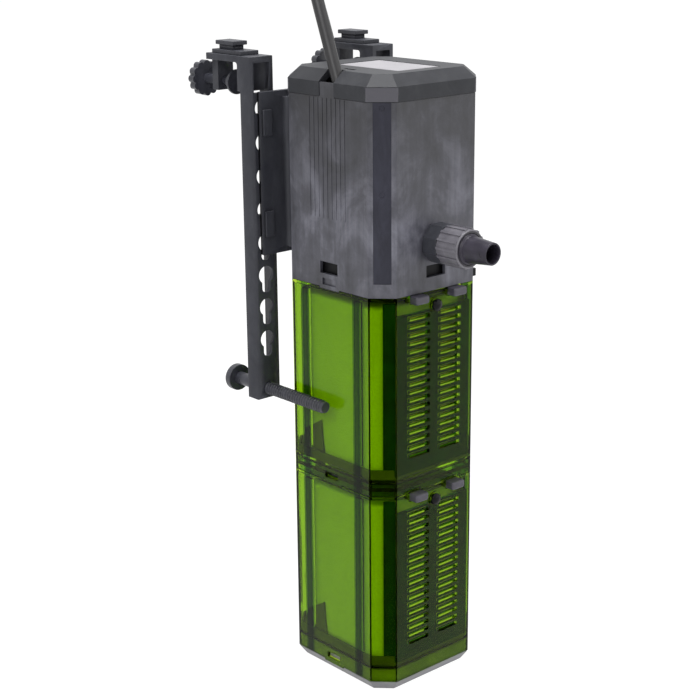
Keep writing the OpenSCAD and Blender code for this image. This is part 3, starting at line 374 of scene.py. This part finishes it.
# The slots' walls get a darker tint as painted shade.
def slot_wall_shade_mask(tree, parts):
    """Picks the slots' walls, which lie between the two faces of the front."""
    inside = add(tree, "ShaderNodeMath", {
        0: parts.outputs["Y"], 1: FRONT_MIDDLE * MM, 2: FRONT_HALF * MM}, operation="COMPARE")
    wide = add(tree, "ShaderNodeMath", {0: parts.outputs["X"]}, operation="ABSOLUTE")
    near = add(tree, "ShaderNodeMath", {0: wide.outputs[0], 1: SLOTS_HALF * MM}, operation="LESS_THAN")
    picked = add(tree, "ShaderNodeMath", {0: inside.outputs[0], 1: near.outputs[0]}, operation="MULTIPLY")
    return picked.outputs[0]


# %% Mix the clear green
FLOW_SIZE, FLOW_STRETCH = 25, 0.3


def clear_green():
    material, tree = new_finish("clear_green_SAN_moulded")
    place = add(tree, "ShaderNodeTexCoord").outputs["Object"]
    drawn = add(tree, "ShaderNodeMapping", {"Vector": place, "Scale": (1, 1, FLOW_STRETCH)}).outputs[0]
    flow = add(tree, "ShaderNodeTexNoise", {"Vector": drawn, "Scale": per_metre(FLOW_SIZE), "Detail": 3})
    parts = add(tree, "ShaderNodeSeparateXYZ", {0: place})
    even = add(tree, "ShaderNodeMix", {
        0: flow.outputs["Fac"], 6: linear("#a8c828"), 7: linear("#b4d232")}, data_type="RGBA")
    # Painted shade: a darker tint on the slots' walls, and on the right front corner with the ribs.
    slotted = add(tree, "ShaderNodeMix", {
        0: slot_wall_shade_mask(tree, parts), 6: even.outputs[2], 7: linear("#84ac2c")}, data_type="RGBA")
    tint = add(tree, "ShaderNodeMix", {
        0: rib_and_shaded_corner_mask(tree, parts), 6: slotted.outputs[2], 7: linear("#456a16")}, data_type="RGBA")
    gloss = add(tree, "ShaderNodeMapRange", {"Value": flow.outputs["Fac"], "To Min": 0.02, "To Max": 0.09})
    bump = add(tree, "ShaderNodeBump", {
        "Strength": 0.15, "Distance": 0.2 * MM, "Height": flow.outputs["Fac"]})
    glass = add(tree, "ShaderNodeBsdfPrincipled", {
        "Base Color": tint.outputs[2], "Roughness": gloss.outputs[0], "Normal": bump.outputs[0],
        "IOR": 1.45, "Specular Tint": linear("#181c14"), "Transmission Weight": 1.0})
    through = add(tree, "ShaderNodeBsdfTransparent", {"Color": linear("#c6dd78")})
    path = add(tree, "ShaderNodeLightPath")
    both = add(tree, "ShaderNodeMixShader", {
        0: path.outputs["Is Shadow Ray"], 1: glass.outputs[0], 2: through.outputs[0]})
    add(tree, "ShaderNodeOutputMaterial", {"Surface": both.outputs[0]})
    return material


finishes["clear_green"] = clear_green()
print("finishes so far:", len(finishes))

# %% [markdown]
# ## Filter foam
# Open-cell polyurethane foam is a net of thin struts. From a hand's breadth away it shows as fine pores on a
# pale matt ground, and behind the clear shell they are only just darker than it, a shade that is painted
# into their colour. Voronoi cells of about a millimetre and a half give pores of uneven size, and the same
# pattern drives the bump.

# %% Mix the foam
CELL_SIZE, TONE_SIZE = 1.6, 30


def open_cell_foam():
    material, tree = new_finish("polyurethane_foam_open_cell")
    place = add(tree, "ShaderNodeTexCoord").outputs["Object"]
    cells = add(tree, "ShaderNodeTexVoronoi", {
        "Vector": place, "Scale": per_metre(CELL_SIZE), "Randomness": 1.0})
    pores = add(tree, "ShaderNodeMapRange", {
        "Value": cells.outputs["Distance"], "From Min": 0.1, "From Max": 0.6})
    tone = add(tree, "ShaderNodeTexNoise", {"Vector": place, "Scale": per_metre(TONE_SIZE), "Detail": 3})
    ground = add(tree, "ShaderNodeMix", {
        0: tone.outputs["Fac"], 6: linear("#c6cc5a"), 7: linear("#d2d868")}, data_type="RGBA")
    # The pores are painted a little darker than the ground, as the shade inside them.
    colour = add(tree, "ShaderNodeMix", {
        0: pores.outputs[0], 6: linear("#c0c656"), 7: ground.outputs[2]}, data_type="RGBA")
    bump = add(tree, "ShaderNodeBump", {"Strength": 0.25, "Distance": 0.4 * MM, "Height": pores.outputs[0]})
    surface = add(tree, "ShaderNodeBsdfPrincipled", {
        "Base Color": colour.outputs[2], "Roughness": 0.9, "Normal": bump.outputs[0], "IOR": 1.45})
    add(tree, "ShaderNodeOutputMaterial", {"Surface": surface.outputs[0]})
    return material


finishes["foam"] = open_cell_foam()

# %% Dress the CAD nodes
slot_of = {part["node"]: part["material_slot"] for part in frame["record"]["subparts"]}
body_of = {name: body for body, names in frame["record"]["behaviour"]["bodies"].items() for name in names}
for name, piece in nodes.items():
    piece.data.materials.clear()
    piece.data.materials.append(finishes[slot_of[name]])
print("finishes:", len(finishes), "dressed nodes:", len(nodes))

# %% [markdown]
# ## The mains lead
# The lead leaves the lid on the left, arches over the top and goes down behind the body to the floor, where
# the spare length lies in a tied coil. Its route repeats the points of the CAD solid, in millimetres. A
# smooth curve through the points has no kinks, and the coil is worked out from its turns, each an angle, a
# radius and a height: one turn on top of another and a bit.

# %% Work out the lead's route
ROUTE = [
    (-41, -5, 408), (-41, -1, 418.5), (-41, 7, 439.5), (-41, 15, 460.5), (-36.5, 29, 484), (-25, 50, 500.5),
    (-8.5, 71, 505.5), (7.5, 87.5, 497.5), (19.5, 95, 478.5), (24, 90.5, 454), (24, 81, 431), (23.5, 73, 408),
    (22.5, 67, 382), (22, 65.5, 360), (21, 65.5, 320), (18.5, 65.5, 290), (15.5, 65.5, 260),
    (12.5, 65.5, 230), (9, 65.5, 200), (5.5, 65.5, 170), (2, 65.5, 140), (-1.5, 65.5, 115),
    (-5.5, 65.3, 90), (-8.5, 65, 72), (-10.5, 65.5, 55), (-8, 68.5, 32), (-1, 76, 17), (8, 86, 12.5),
    (19.7, 98.5, 11.7), (29, 109.2, 12.2)]
COIL_MIDDLE = (75, 95)
START_ANGLE = 138.3
TURNS = [
    (0, 44, 12.25), (12, 44, 12.2), (45, 44, 11.1), (205, 44, 11.1), (235, 44, 12.25), (265, 44, 12.25),
    (290, 44, 11.2), (325, 41, 8.6), (360, 40, 4.05), (570, 40, 4.05), (650, 48.2, 4.05), (768.3, 48.2, 4.05)]
COIL_END = TURNS[-1][0]
COIL_STEP = 8
TO_PLUG = [(85, 143.15, 4.4), (95, 143.05, 5.8), (104, 143, 6.8), (110, 143, 6.85)]


def ease(u):
    return u * u * (3 - 2 * u)


def coil_point(angle):
    for (a, r0, z0), (b, r1, z1) in zip(TURNS, TURNS[1:]):
        if angle <= b:
            u = ease((angle - a) / (b - a))
            break
    theta = math.radians(START_ANGLE - angle)
    radius = r0 + (r1 - r0) * u
    x, y = COIL_MIDDLE
    return (x + radius * math.cos(theta), y + radius * math.sin(theta), z0 + (z1 - z0) * u)


def through_points(points, steps):
    points = [Vector(p) for p in points]
    ends = [2 * points[0] - points[1]] + points + [2 * points[-1] - points[-2]]
    line = []
    for i in range(1, len(ends) - 2):
        a, b, c, d = ends[i - 1:i + 3]
        for k in range(steps):
            u = k / steps
            line.append(0.5 * (2 * b + (c - a) * u + (2 * a - 5 * b + 4 * c - d) * u ** 2
                               + (3 * b - a - 3 * c + d) * u ** 3))
    return line + [points[-1]]


coil = [coil_point(a) for a in range(0, math.floor(COIL_END), COIL_STEP)] + [coil_point(COIL_END)]
lead_path = [p * MM for p in through_points(ROUTE + coil + TO_PLUG, steps=3)]

# %% [markdown]
# ## A tube along a path
# A lead is one round section drawn along a line, which is what Geometry Nodes do well: the line becomes a
# curve, the curve carries a circle, and the circle's size is an input of the tree. The result is turned into
# a plain mesh, because the finished part carries no modifiers.

# %% Build the tube tree
def tube_tree():
    tree = bpy.data.node_groups.new("tube_along_path", "GeometryNodeTree")
    face = tree.interface
    face.new_socket("Path", in_out="INPUT", socket_type="NodeSocketGeometry")
    face.new_socket("Radius", in_out="INPUT", socket_type="NodeSocketFloat")
    face.new_socket("Sides", in_out="INPUT", socket_type="NodeSocketInt")
    face.new_socket("Finish", in_out="INPUT", socket_type="NodeSocketMaterial")
    face.new_socket("Tube", in_out="OUTPUT", socket_type="NodeSocketGeometry")
    given = add(tree, "NodeGroupInput")
    line = add(tree, "GeometryNodeMeshToCurve", {"Mesh": given.outputs["Path"]})
    ring = add(tree, "GeometryNodeCurvePrimitiveCircle", {
        "Resolution": given.outputs["Sides"], "Radius": given.outputs["Radius"]})
    tube = add(tree, "GeometryNodeCurveToMesh", {
        "Curve": line.outputs[0], "Profile Curve": ring.outputs[0], "Fill Caps": True})
    soft = add(tree, "GeometryNodeSetShadeSmooth", {"Geometry": tube.outputs[0]})
    real = add(tree, "GeometryNodeRealizeInstances", {"Geometry": soft.outputs[0]})
    done = add(tree, "GeometryNodeSetMaterial", {
        "Geometry": real.outputs[0], "Material": given.outputs["Finish"]})
    add(tree, "NodeGroupOutput", {"Tube": done.outputs[0]})
    return tree


# %% Helpers that run a tree
def plain(piece):
    """Turns an object with modifiers into the mesh that they make."""
    graph = bpy.context.evaluated_depsgraph_get()
    made = bpy.data.meshes.new_from_object(piece.evaluated_get(graph))
    made.name = piece.name
    piece.modifiers.clear()
    piece.data = made
    return piece


def run_tree(name, mesh, tree, values):
    start = bpy.data.objects.new(name, mesh)
    scene.collection.objects.link(start)
    step = start.modifiers.new("shape", "NODES")
    step.node_group = tree
    for item in tree.interface.items_tree:
        if item.in_out == "INPUT" and item.name in values:
            step[item.identifier] = values[item.name]
    return plain(start)


def line_mesh(name, points):
    mesh = bpy.data.meshes.new(name)
    mesh.from_pydata([tuple(p) for p in points], [(i, i + 1) for i in range(len(points) - 1)], [])
    return mesh


# %% Make the lead
LEAD_RADIUS, LEAD_SIDES = 4 * MM, 16

lead = run_tree("mains_lead", line_mesh("mains_lead", lead_path), tube_tree(), {
    "Radius": LEAD_RADIUS, "Sides": LEAD_SIDES, "Finish": finishes["cord_sheath"]})
print("lead faces:", len(lead.data.polygons))

# %% [markdown]
# ## Rounded edges
# A mould's edges are never knife-sharp: each carries a radius of a few tenths of a millimetre, and that thin
# line of light is what makes plastic look moulded. A copy of the CAD mesh is merged, its flat faces are
# joined, and a narrow Bevel rounds its outward corners. The CAD mesh itself stays untouched. Bevel's own
# clamp is one limit for a whole piece, so a single tiny edge would leave every other edge sharp. Here each
# edge has a weight instead: the share of the width that the edges beside it leave room for, and the same
# share along a run of edges. Pieces with many small cuts, such as the lid and the shells, keep their CAD
# mesh.

# %% Shares of the width for each edge
# A corner is sharper than SHARP. IN_LINE and NEAR are cosines: past the first, the next edge carries the run
# on, and past the second, two edges lie too close together to be rounded. ROOM is the share of a neighbour
# that a rounding may take up. An edge that would get less than LEAST stays sharp.
SHARP = math.radians(32)
IN_LINE, NEAR = 0.9, 0.96
ROOM, LEAST = 0.4, 0.2


def edge_shares(form, width):
    """Gives each sharp edge the share of the width that the edges beside it leave room for."""
    share = form.edges.layers.float.new("bevel_weight_edge")
    sharp = [e for e in form.edges if e.is_manifold and e.is_convex and e.calc_face_angle() > SHARP]
    room = {edge: width for edge in sharp}
    chained = {edge: [] for edge in sharp}
    for edge in sharp:
        for corner in edge.verts:
            ahead = (edge.other_vert(corner).co - corner.co).normalized()
            for other in corner.link_edges:
                run = other.other_vert(corner).co - corner.co
                turn = run.normalized().dot(ahead)
                if other in room and turn < -IN_LINE:
                    chained[edge].append(other)
                elif other is not edge:
                    across = run.length * math.sqrt(max(1 - turn * turn, 0))
                    room[edge] = min(room[edge], 0.0 if abs(turn) > NEAR else ROOM * across)
    changed = True
    while changed:
        changed = False
        for edge in sharp:
            least = min([room[other] for other in chained[edge]], default=width)
            if least < room[edge]:
                room[edge] = least
                changed = True
    for edge in sharp:
        if room[edge] > LEAST * width:
            edge[share] = room[edge] / width


# %% A helper that rounds a CAD node's edges
MERGE = 0.002 * MM
FLAT = math.radians(0.4)


def merged_copy(node, width=0.0):
    mesh = bpy.data.meshes.new(node + "_soft")
    form = bmesh.new()
    form.from_mesh(nodes[node].data)
    bmesh.ops.remove_doubles(form, verts=form.verts, dist=MERGE)
    bmesh.ops.dissolve_limit(form, angle_limit=FLAT, verts=form.verts, edges=form.edges)
    if width:
        edge_shares(form, width)
    form.to_mesh(mesh)
    form.free()
    mesh.materials.append(finishes[slot_of[node]])
    return mesh


def soften(node, width):
    mesh = merged_copy(node, width * MM)
    mesh.shade_smooth()
    piece = bpy.data.objects.new(node + "_soft", mesh)
    scene.collection.objects.link(piece)
    edge = piece.modifiers.new("edge", "BEVEL")
    edge.width = width * MM
    edge.segments = 2
    edge.limit_method = "WEIGHT"
    edge.use_clamp_overlap = False
    even = piece.modifiers.new("even", "WEIGHTED_NORMAL")
    even.keep_sharp = True
    plain(piece)
    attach(piece, body_of[node])
    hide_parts(node)
    return piece


# %% Round the visible pieces
EDGES = {
    "corner_strips": 0.2, "label_plate": 0.1, "bracket_plate": 0.4, "arm_studs": 0.3, "upper_catch": 1.4,
    "lower_catch": 1.4, "base_plate": 0.5, "flow_slide": 0.4, "outlet_socket": 0.5, "nozzle": 0.3,
    "plug_body": 0.8, "upper_intake_grid": 0.2, "lower_intake_grid": 0.2, "cord_gland": 0.4, "cord_tie": 0.2,
    "plate_screws": 0.3, "strip_pins": 0.15, "plug_pins": 0.5}
SIDE_EDGES = {"arm": 0.35, "rest_cap": 0.4, "clamp_pad": 0.4, "spacer_foot": 0.5}
for side in ("left", "right"):
    for name, width in SIDE_EDGES.items():
        EDGES[f"{side}_{name}"] = width
softened = {node: soften(node, width) for node, width in EDGES.items()}
print("rounded pieces:", len(softened), "faces:", sum(len(p.data.polygons) for p in softened.values()))

# %% [markdown]
# ## Threaded spacer rods
# The spacer rods carry a coarse moulded thread. A thread is one small section drawn along a helix, so
# Geometry Nodes make it: a Spiral curve gives the helix, and the turns, height and ridge are inputs. The core
# under it is turned, which is a row of points swept round the rod's axis.

# %% Build the thread tree
HELIX_STEPS, RIDGE_SIDES = 22, 6


def thread_tree():
    tree = bpy.data.node_groups.new("thread_on_rod", "GeometryNodeTree")
    face = tree.interface
    face.new_socket("Core", in_out="INPUT", socket_type="NodeSocketGeometry")
    for name in ("Turns", "Ridge line", "Height", "Ridge"):
        face.new_socket(name, in_out="INPUT", socket_type="NodeSocketFloat")
    face.new_socket("Start", in_out="INPUT", socket_type="NodeSocketVector")
    face.new_socket("Finish", in_out="INPUT", socket_type="NodeSocketMaterial")
    face.new_socket("Rod", in_out="OUTPUT", socket_type="NodeSocketGeometry")
    given = add(tree, "NodeGroupInput")
    helix = add(tree, "GeometryNodeCurveSpiral", {
        "Resolution": HELIX_STEPS, "Rotations": given.outputs["Turns"], "Height": given.outputs["Height"],
        "Start Radius": given.outputs["Ridge line"], "End Radius": given.outputs["Ridge line"],
        "Reverse": True})
    section = add(tree, "GeometryNodeCurvePrimitiveCircle", {
        "Resolution": RIDGE_SIDES, "Radius": given.outputs["Ridge"]})
    ridge = add(tree, "GeometryNodeCurveToMesh", {
        "Curve": helix.outputs[0], "Profile Curve": section.outputs[0], "Fill Caps": True})
    laid = add(tree, "GeometryNodeTransform", {
        "Geometry": ridge.outputs[0], "Translation": given.outputs["Start"],
        "Rotation": (-math.pi / 2, 0, 0)})
    both = add(tree, "GeometryNodeJoinGeometry", {0: laid.outputs[0]})
    tree.links.new(given.outputs["Core"], both.inputs[0])
    real = add(tree, "GeometryNodeRealizeInstances", {"Geometry": both.outputs[0]})
    done = add(tree, "GeometryNodeSetMaterial", {
        "Geometry": real.outputs[0], "Material": given.outputs["Finish"]})
    add(tree, "NodeGroupOutput", {"Rod": done.outputs[0]})
    return tree


# %% A helper for turned shapes
def turned(name, profile, middle, sides=32):
    """Sweeps (radius, along) points round an axis that lies along Y."""
    points = []
    last = (len(profile) - 1) * sides
    faces = [tuple(range(sides)), tuple(range(last + sides - 1, last - 1, -1))]
    for radius, along in profile:
        for k in range(sides):
            angle = 2 * math.pi * k / sides
            points.append((middle[0] + radius * math.cos(angle), along, middle[1] + radius * math.sin(angle)))
    for i in range(0, last, sides):
        for k in range(sides):
            after = (k + 1) % sides
            faces.append((i + k, i + sides + k, i + sides + after, i + after))
    mesh = bpy.data.meshes.new(name)
    mesh.from_pydata(points, [], faces)
    form = bmesh.new()
    form.from_mesh(mesh)
    bmesh.ops.recalc_face_normals(form, faces=form.faces)
    form.to_mesh(mesh)
    form.free()
    mesh.shade_smooth()
    mesh.set_sharp_from_angle(angle=math.radians(35))
    return mesh


# %% Make the threaded rods
PITCH, DEPTH, PIN = 2.5 * MM, 0.6 * MM, 2.9 * MM
UNDER_CREST = 0.05 * MM
TIP = [(1.2 * MM, 0), (0.7 * MM, 0.4 * MM), (DEPTH, 1.2 * MM)]
ARM_GAP, FOOT_GAP = 2 * MM, 0.2 * MM
FIRST_TURN, PLAIN_ENDS = 1.8 * MM, 2.4 * MM

thread = thread_tree()
for side in ("left", "right"):
    node = side + "_spacer_screw"
    low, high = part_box(node)
    crest = (high.x - low.x) / 2
    middle = ((low.x + high.x) / 2, (low.z + high.z) / 2)
    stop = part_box(side + "_arm")[0].y - ARM_GAP
    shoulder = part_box(side + "_spacer_foot")[0].y - FOOT_GAP
    profile = [(crest - under, low.y + along) for under, along in TIP]
    profile += [
        (crest - DEPTH, stop), (crest - UNDER_CREST, stop + DEPTH), (crest - UNDER_CREST, shoulder),
        (PIN, shoulder), (PIN, high.y)]
    core = turned(node + "_threaded", profile, middle)
    turns = math.floor((stop - low.y - PLAIN_ENDS) / PITCH)
    rod = run_tree(node + "_threaded", core, thread, {
        "Turns": turns, "Ridge line": crest - DEPTH - UNDER_CREST, "Height": turns * PITCH, "Ridge": DEPTH,
        "Start": (middle[0], low.y + FIRST_TURN, middle[1]), "Finish": finishes["screw_plastic"]})
    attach(rod, body_of[node])
    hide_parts(node)
    print(node, "turns:", turns, "faces:", len(rod.data.polygons))

# %% [markdown]
# ## Keyhole plugs
# A glossy rubber plug closes the keyhole at the top of each module's front. Its head is a shallow dome, which
# gathers the light into one small spark. It is turned like the rods: a quarter of an ellipse, the rim and the
# stem behind it.

# %% Make the domed plugs
DOME, RIM, STEM = 1.9 * MM, 2.6 * MM, 3.0 * MM
DOME_ANGLES = (3, 12, 24, 36, 48, 60, 72, 82, 90)

for node in ("upper_plug", "lower_plug"):
    low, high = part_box(node)
    radius = (high.x - low.x) / 2
    arc = [math.radians(a) for a in DOME_ANGLES]
    profile = [(radius * math.sin(a), low.y + DOME * (1 - math.cos(a))) for a in arc]
    profile += [(radius, low.y + RIM), (STEM, low.y + RIM), (STEM, high.y)]
    plug = bpy.data.objects.new(node + "_domed", turned(
        node + "_domed", profile, ((low.x + high.x) / 2, (low.z + high.z) / 2)))
    scene.collection.objects.link(plug)
    plug.data.materials.append(finishes["black_rubber"])
    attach(plug, body_of[node])
    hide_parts(node)
    print(node, "radius mm:", round(radius / MM, 2), "faces:", len(plug.data.polygons))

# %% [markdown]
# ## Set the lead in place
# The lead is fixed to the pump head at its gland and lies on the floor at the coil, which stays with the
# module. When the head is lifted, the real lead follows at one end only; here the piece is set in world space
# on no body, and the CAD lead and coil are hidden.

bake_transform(lead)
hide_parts("power_cord", "cord_coil")

# %% [markdown]
# ## Foam cartridges
# The foam is cut from a block and squeezed a little, so its faces are flat but its edges are soft and its
# skin is uneven. The CAD block is remeshed into even small faces, and each point sinks by up to half a
# millimetre, never outwards, so the foam stays clear of the shell.

# %% Make the foam
FOAM_EDGE, FOAM_FACE = 2.5 * MM, 2.2 * MM
FOAM_CORNER = math.radians(40)
SINK, DENT_SIZE = 0.25, 22


def foam_block(node):
    piece = bpy.data.objects.new(node + "_cut", merged_copy(node))
    scene.collection.objects.link(piece)
    edge = piece.modifiers.new("edge", "BEVEL")
    edge.width = FOAM_EDGE
    edge.segments = 3
    edge.limit_method = "ANGLE"
    edge.angle_limit = FOAM_CORNER
    even = piece.modifiers.new("even", "REMESH")
    even.mode = "VOXEL"
    even.voxel_size = FOAM_FACE
    plain(piece)
    normals = [v.normal.copy() for v in piece.data.vertices]
    for point, out in zip(piece.data.vertices, normals):
        sink = SINK + SINK * noise.noise(point.co * per_metre(DENT_SIZE))
        point.co -= out * max(sink, 0.0) * MM
    piece.data.shade_smooth()
    piece.data.materials.clear()
    piece.data.materials.append(finishes["foam"])
    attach(piece, body_of[node])
    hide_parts(node)
    print(node, "faces:", len(piece.data.polygons))


foam_block("upper_foam")
foam_block("lower_foam")

# %% [markdown]
# ## Floor
# The object stands on a pale floor in a white studio. The white is only what the camera, reflections and
# clear plastic see, which a mask of ray kinds picks out. A share of pale paint under it keeps a soft contact
# shadow. The floor goes down with the lower module, so that the base stays in sight when that module is
# pulled off.

# %% Lay the floor
FLOOR_HALF = 40
GLOW_SHARE, GLOW = 0.86, 1.14


def seen_rays(tree):
    """Is 1 for rays from the camera, off gloss and through clear plastic, and 0 for light that falls."""
    path = add(tree, "ShaderNodeLightPath")
    direct = add(tree, "ShaderNodeMath", {0: path.outputs["Is Camera Ray"], 1: path.outputs["Is Glossy Ray"]},
                 operation="MAXIMUM")
    seen = add(tree, "ShaderNodeMath", {0: direct.outputs[0], 1: path.outputs["Is Transmission Ray"]},
               operation="MAXIMUM")
    return seen.outputs[0]


def studio_floor():
    material, tree = new_finish("pale_studio_floor")
    share = add(tree, "ShaderNodeMath", {0: seen_rays(tree), 1: GLOW_SHARE}, operation="MULTIPLY")
    paint = add(tree, "ShaderNodeBsdfDiffuse", {"Color": linear("#f0f0f0")})
    glow = add(tree, "ShaderNodeEmission", {"Color": (1, 1, 1, 1), "Strength": GLOW})
    both = add(tree, "ShaderNodeMixShader", {0: share.outputs[0], 1: paint.outputs[0], 2: glow.outputs[0]})
    add(tree, "ShaderNodeOutputMaterial", {"Surface": both.outputs[0]})
    return material


corners = [(x * FLOOR_HALF, y * FLOOR_HALF, 0) for x, y in ((-1, -1), (1, -1), (1, 1), (-1, 1))]
ground = bpy.data.meshes.new("floor")
ground.from_pydata(corners, [], [(0, 1, 2, 3)])
ground.materials.append(studio_floor())
floor = bpy.data.objects.new("floor", ground)
scene.collection.objects.link(floor)
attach(floor, body_of["base_plate"])
print("floor rides on", body_of["base_plate"])

# %% [markdown]
# ## Sky
# The same mask makes the sky white where it is seen, and an even grey where it lights the object.

# %% Set the sky
SKY_LIGHT, SKY_WHITE = 0.38, 1.0

world = bpy.data.worlds.new("studio")
scene.world = world
world.use_nodes = True
sky = world.node_tree
sky.nodes.clear()
even = add(sky, "ShaderNodeBackground", {"Color": (1, 1, 1, 1), "Strength": SKY_LIGHT})
white = add(sky, "ShaderNodeBackground", {"Color": (1, 1, 1, 1), "Strength": SKY_WHITE})
both = add(sky, "ShaderNodeMixShader", {0: seen_rays(sky), 1: even.outputs[0], 2: white.outputs[0]})
add(sky, "ShaderNodeOutputWorld", {"Surface": both.outputs[0]})
print("sky light:", SKY_LIGHT)

# %% [markdown]
# ## Lamps
# A large soft lamp on the left shapes the body, a wider and weaker one on the right keeps the front readable,
# and one above lights the lid and the label.

# %% Hang the lamps
def soft_lamp(name, place, aim, size, watts):
    lamp = bpy.data.lights.new(name, "AREA")
    lamp.shape = "SQUARE"
    lamp.size = size
    lamp.energy = watts
    holder = bpy.data.objects.new(name, lamp)
    holder.location = place
    holder.rotation_euler = (Vector(aim) - Vector(place)).to_track_quat("-Z", "Y").to_euler()
    scene.collection.objects.link(holder)
    print(name, watts, "W at", round((Vector(aim) - Vector(place)).length, 2), "m")


soft_lamp("key_left", place=(-1.7, -0.7, 1.5), aim=(0, 0, 0.22), size=1.2, watts=17)
soft_lamp("fill_right", place=(1.1, -1.7, 0.9), aim=(0, 0, 0.22), size=2.2, watts=12)
soft_lamp("top", place=(0.1, 0.1, 1.9), aim=(0, 0, 0.3), size=1.0, watts=33)
scene.view_settings.view_transform = "Standard"
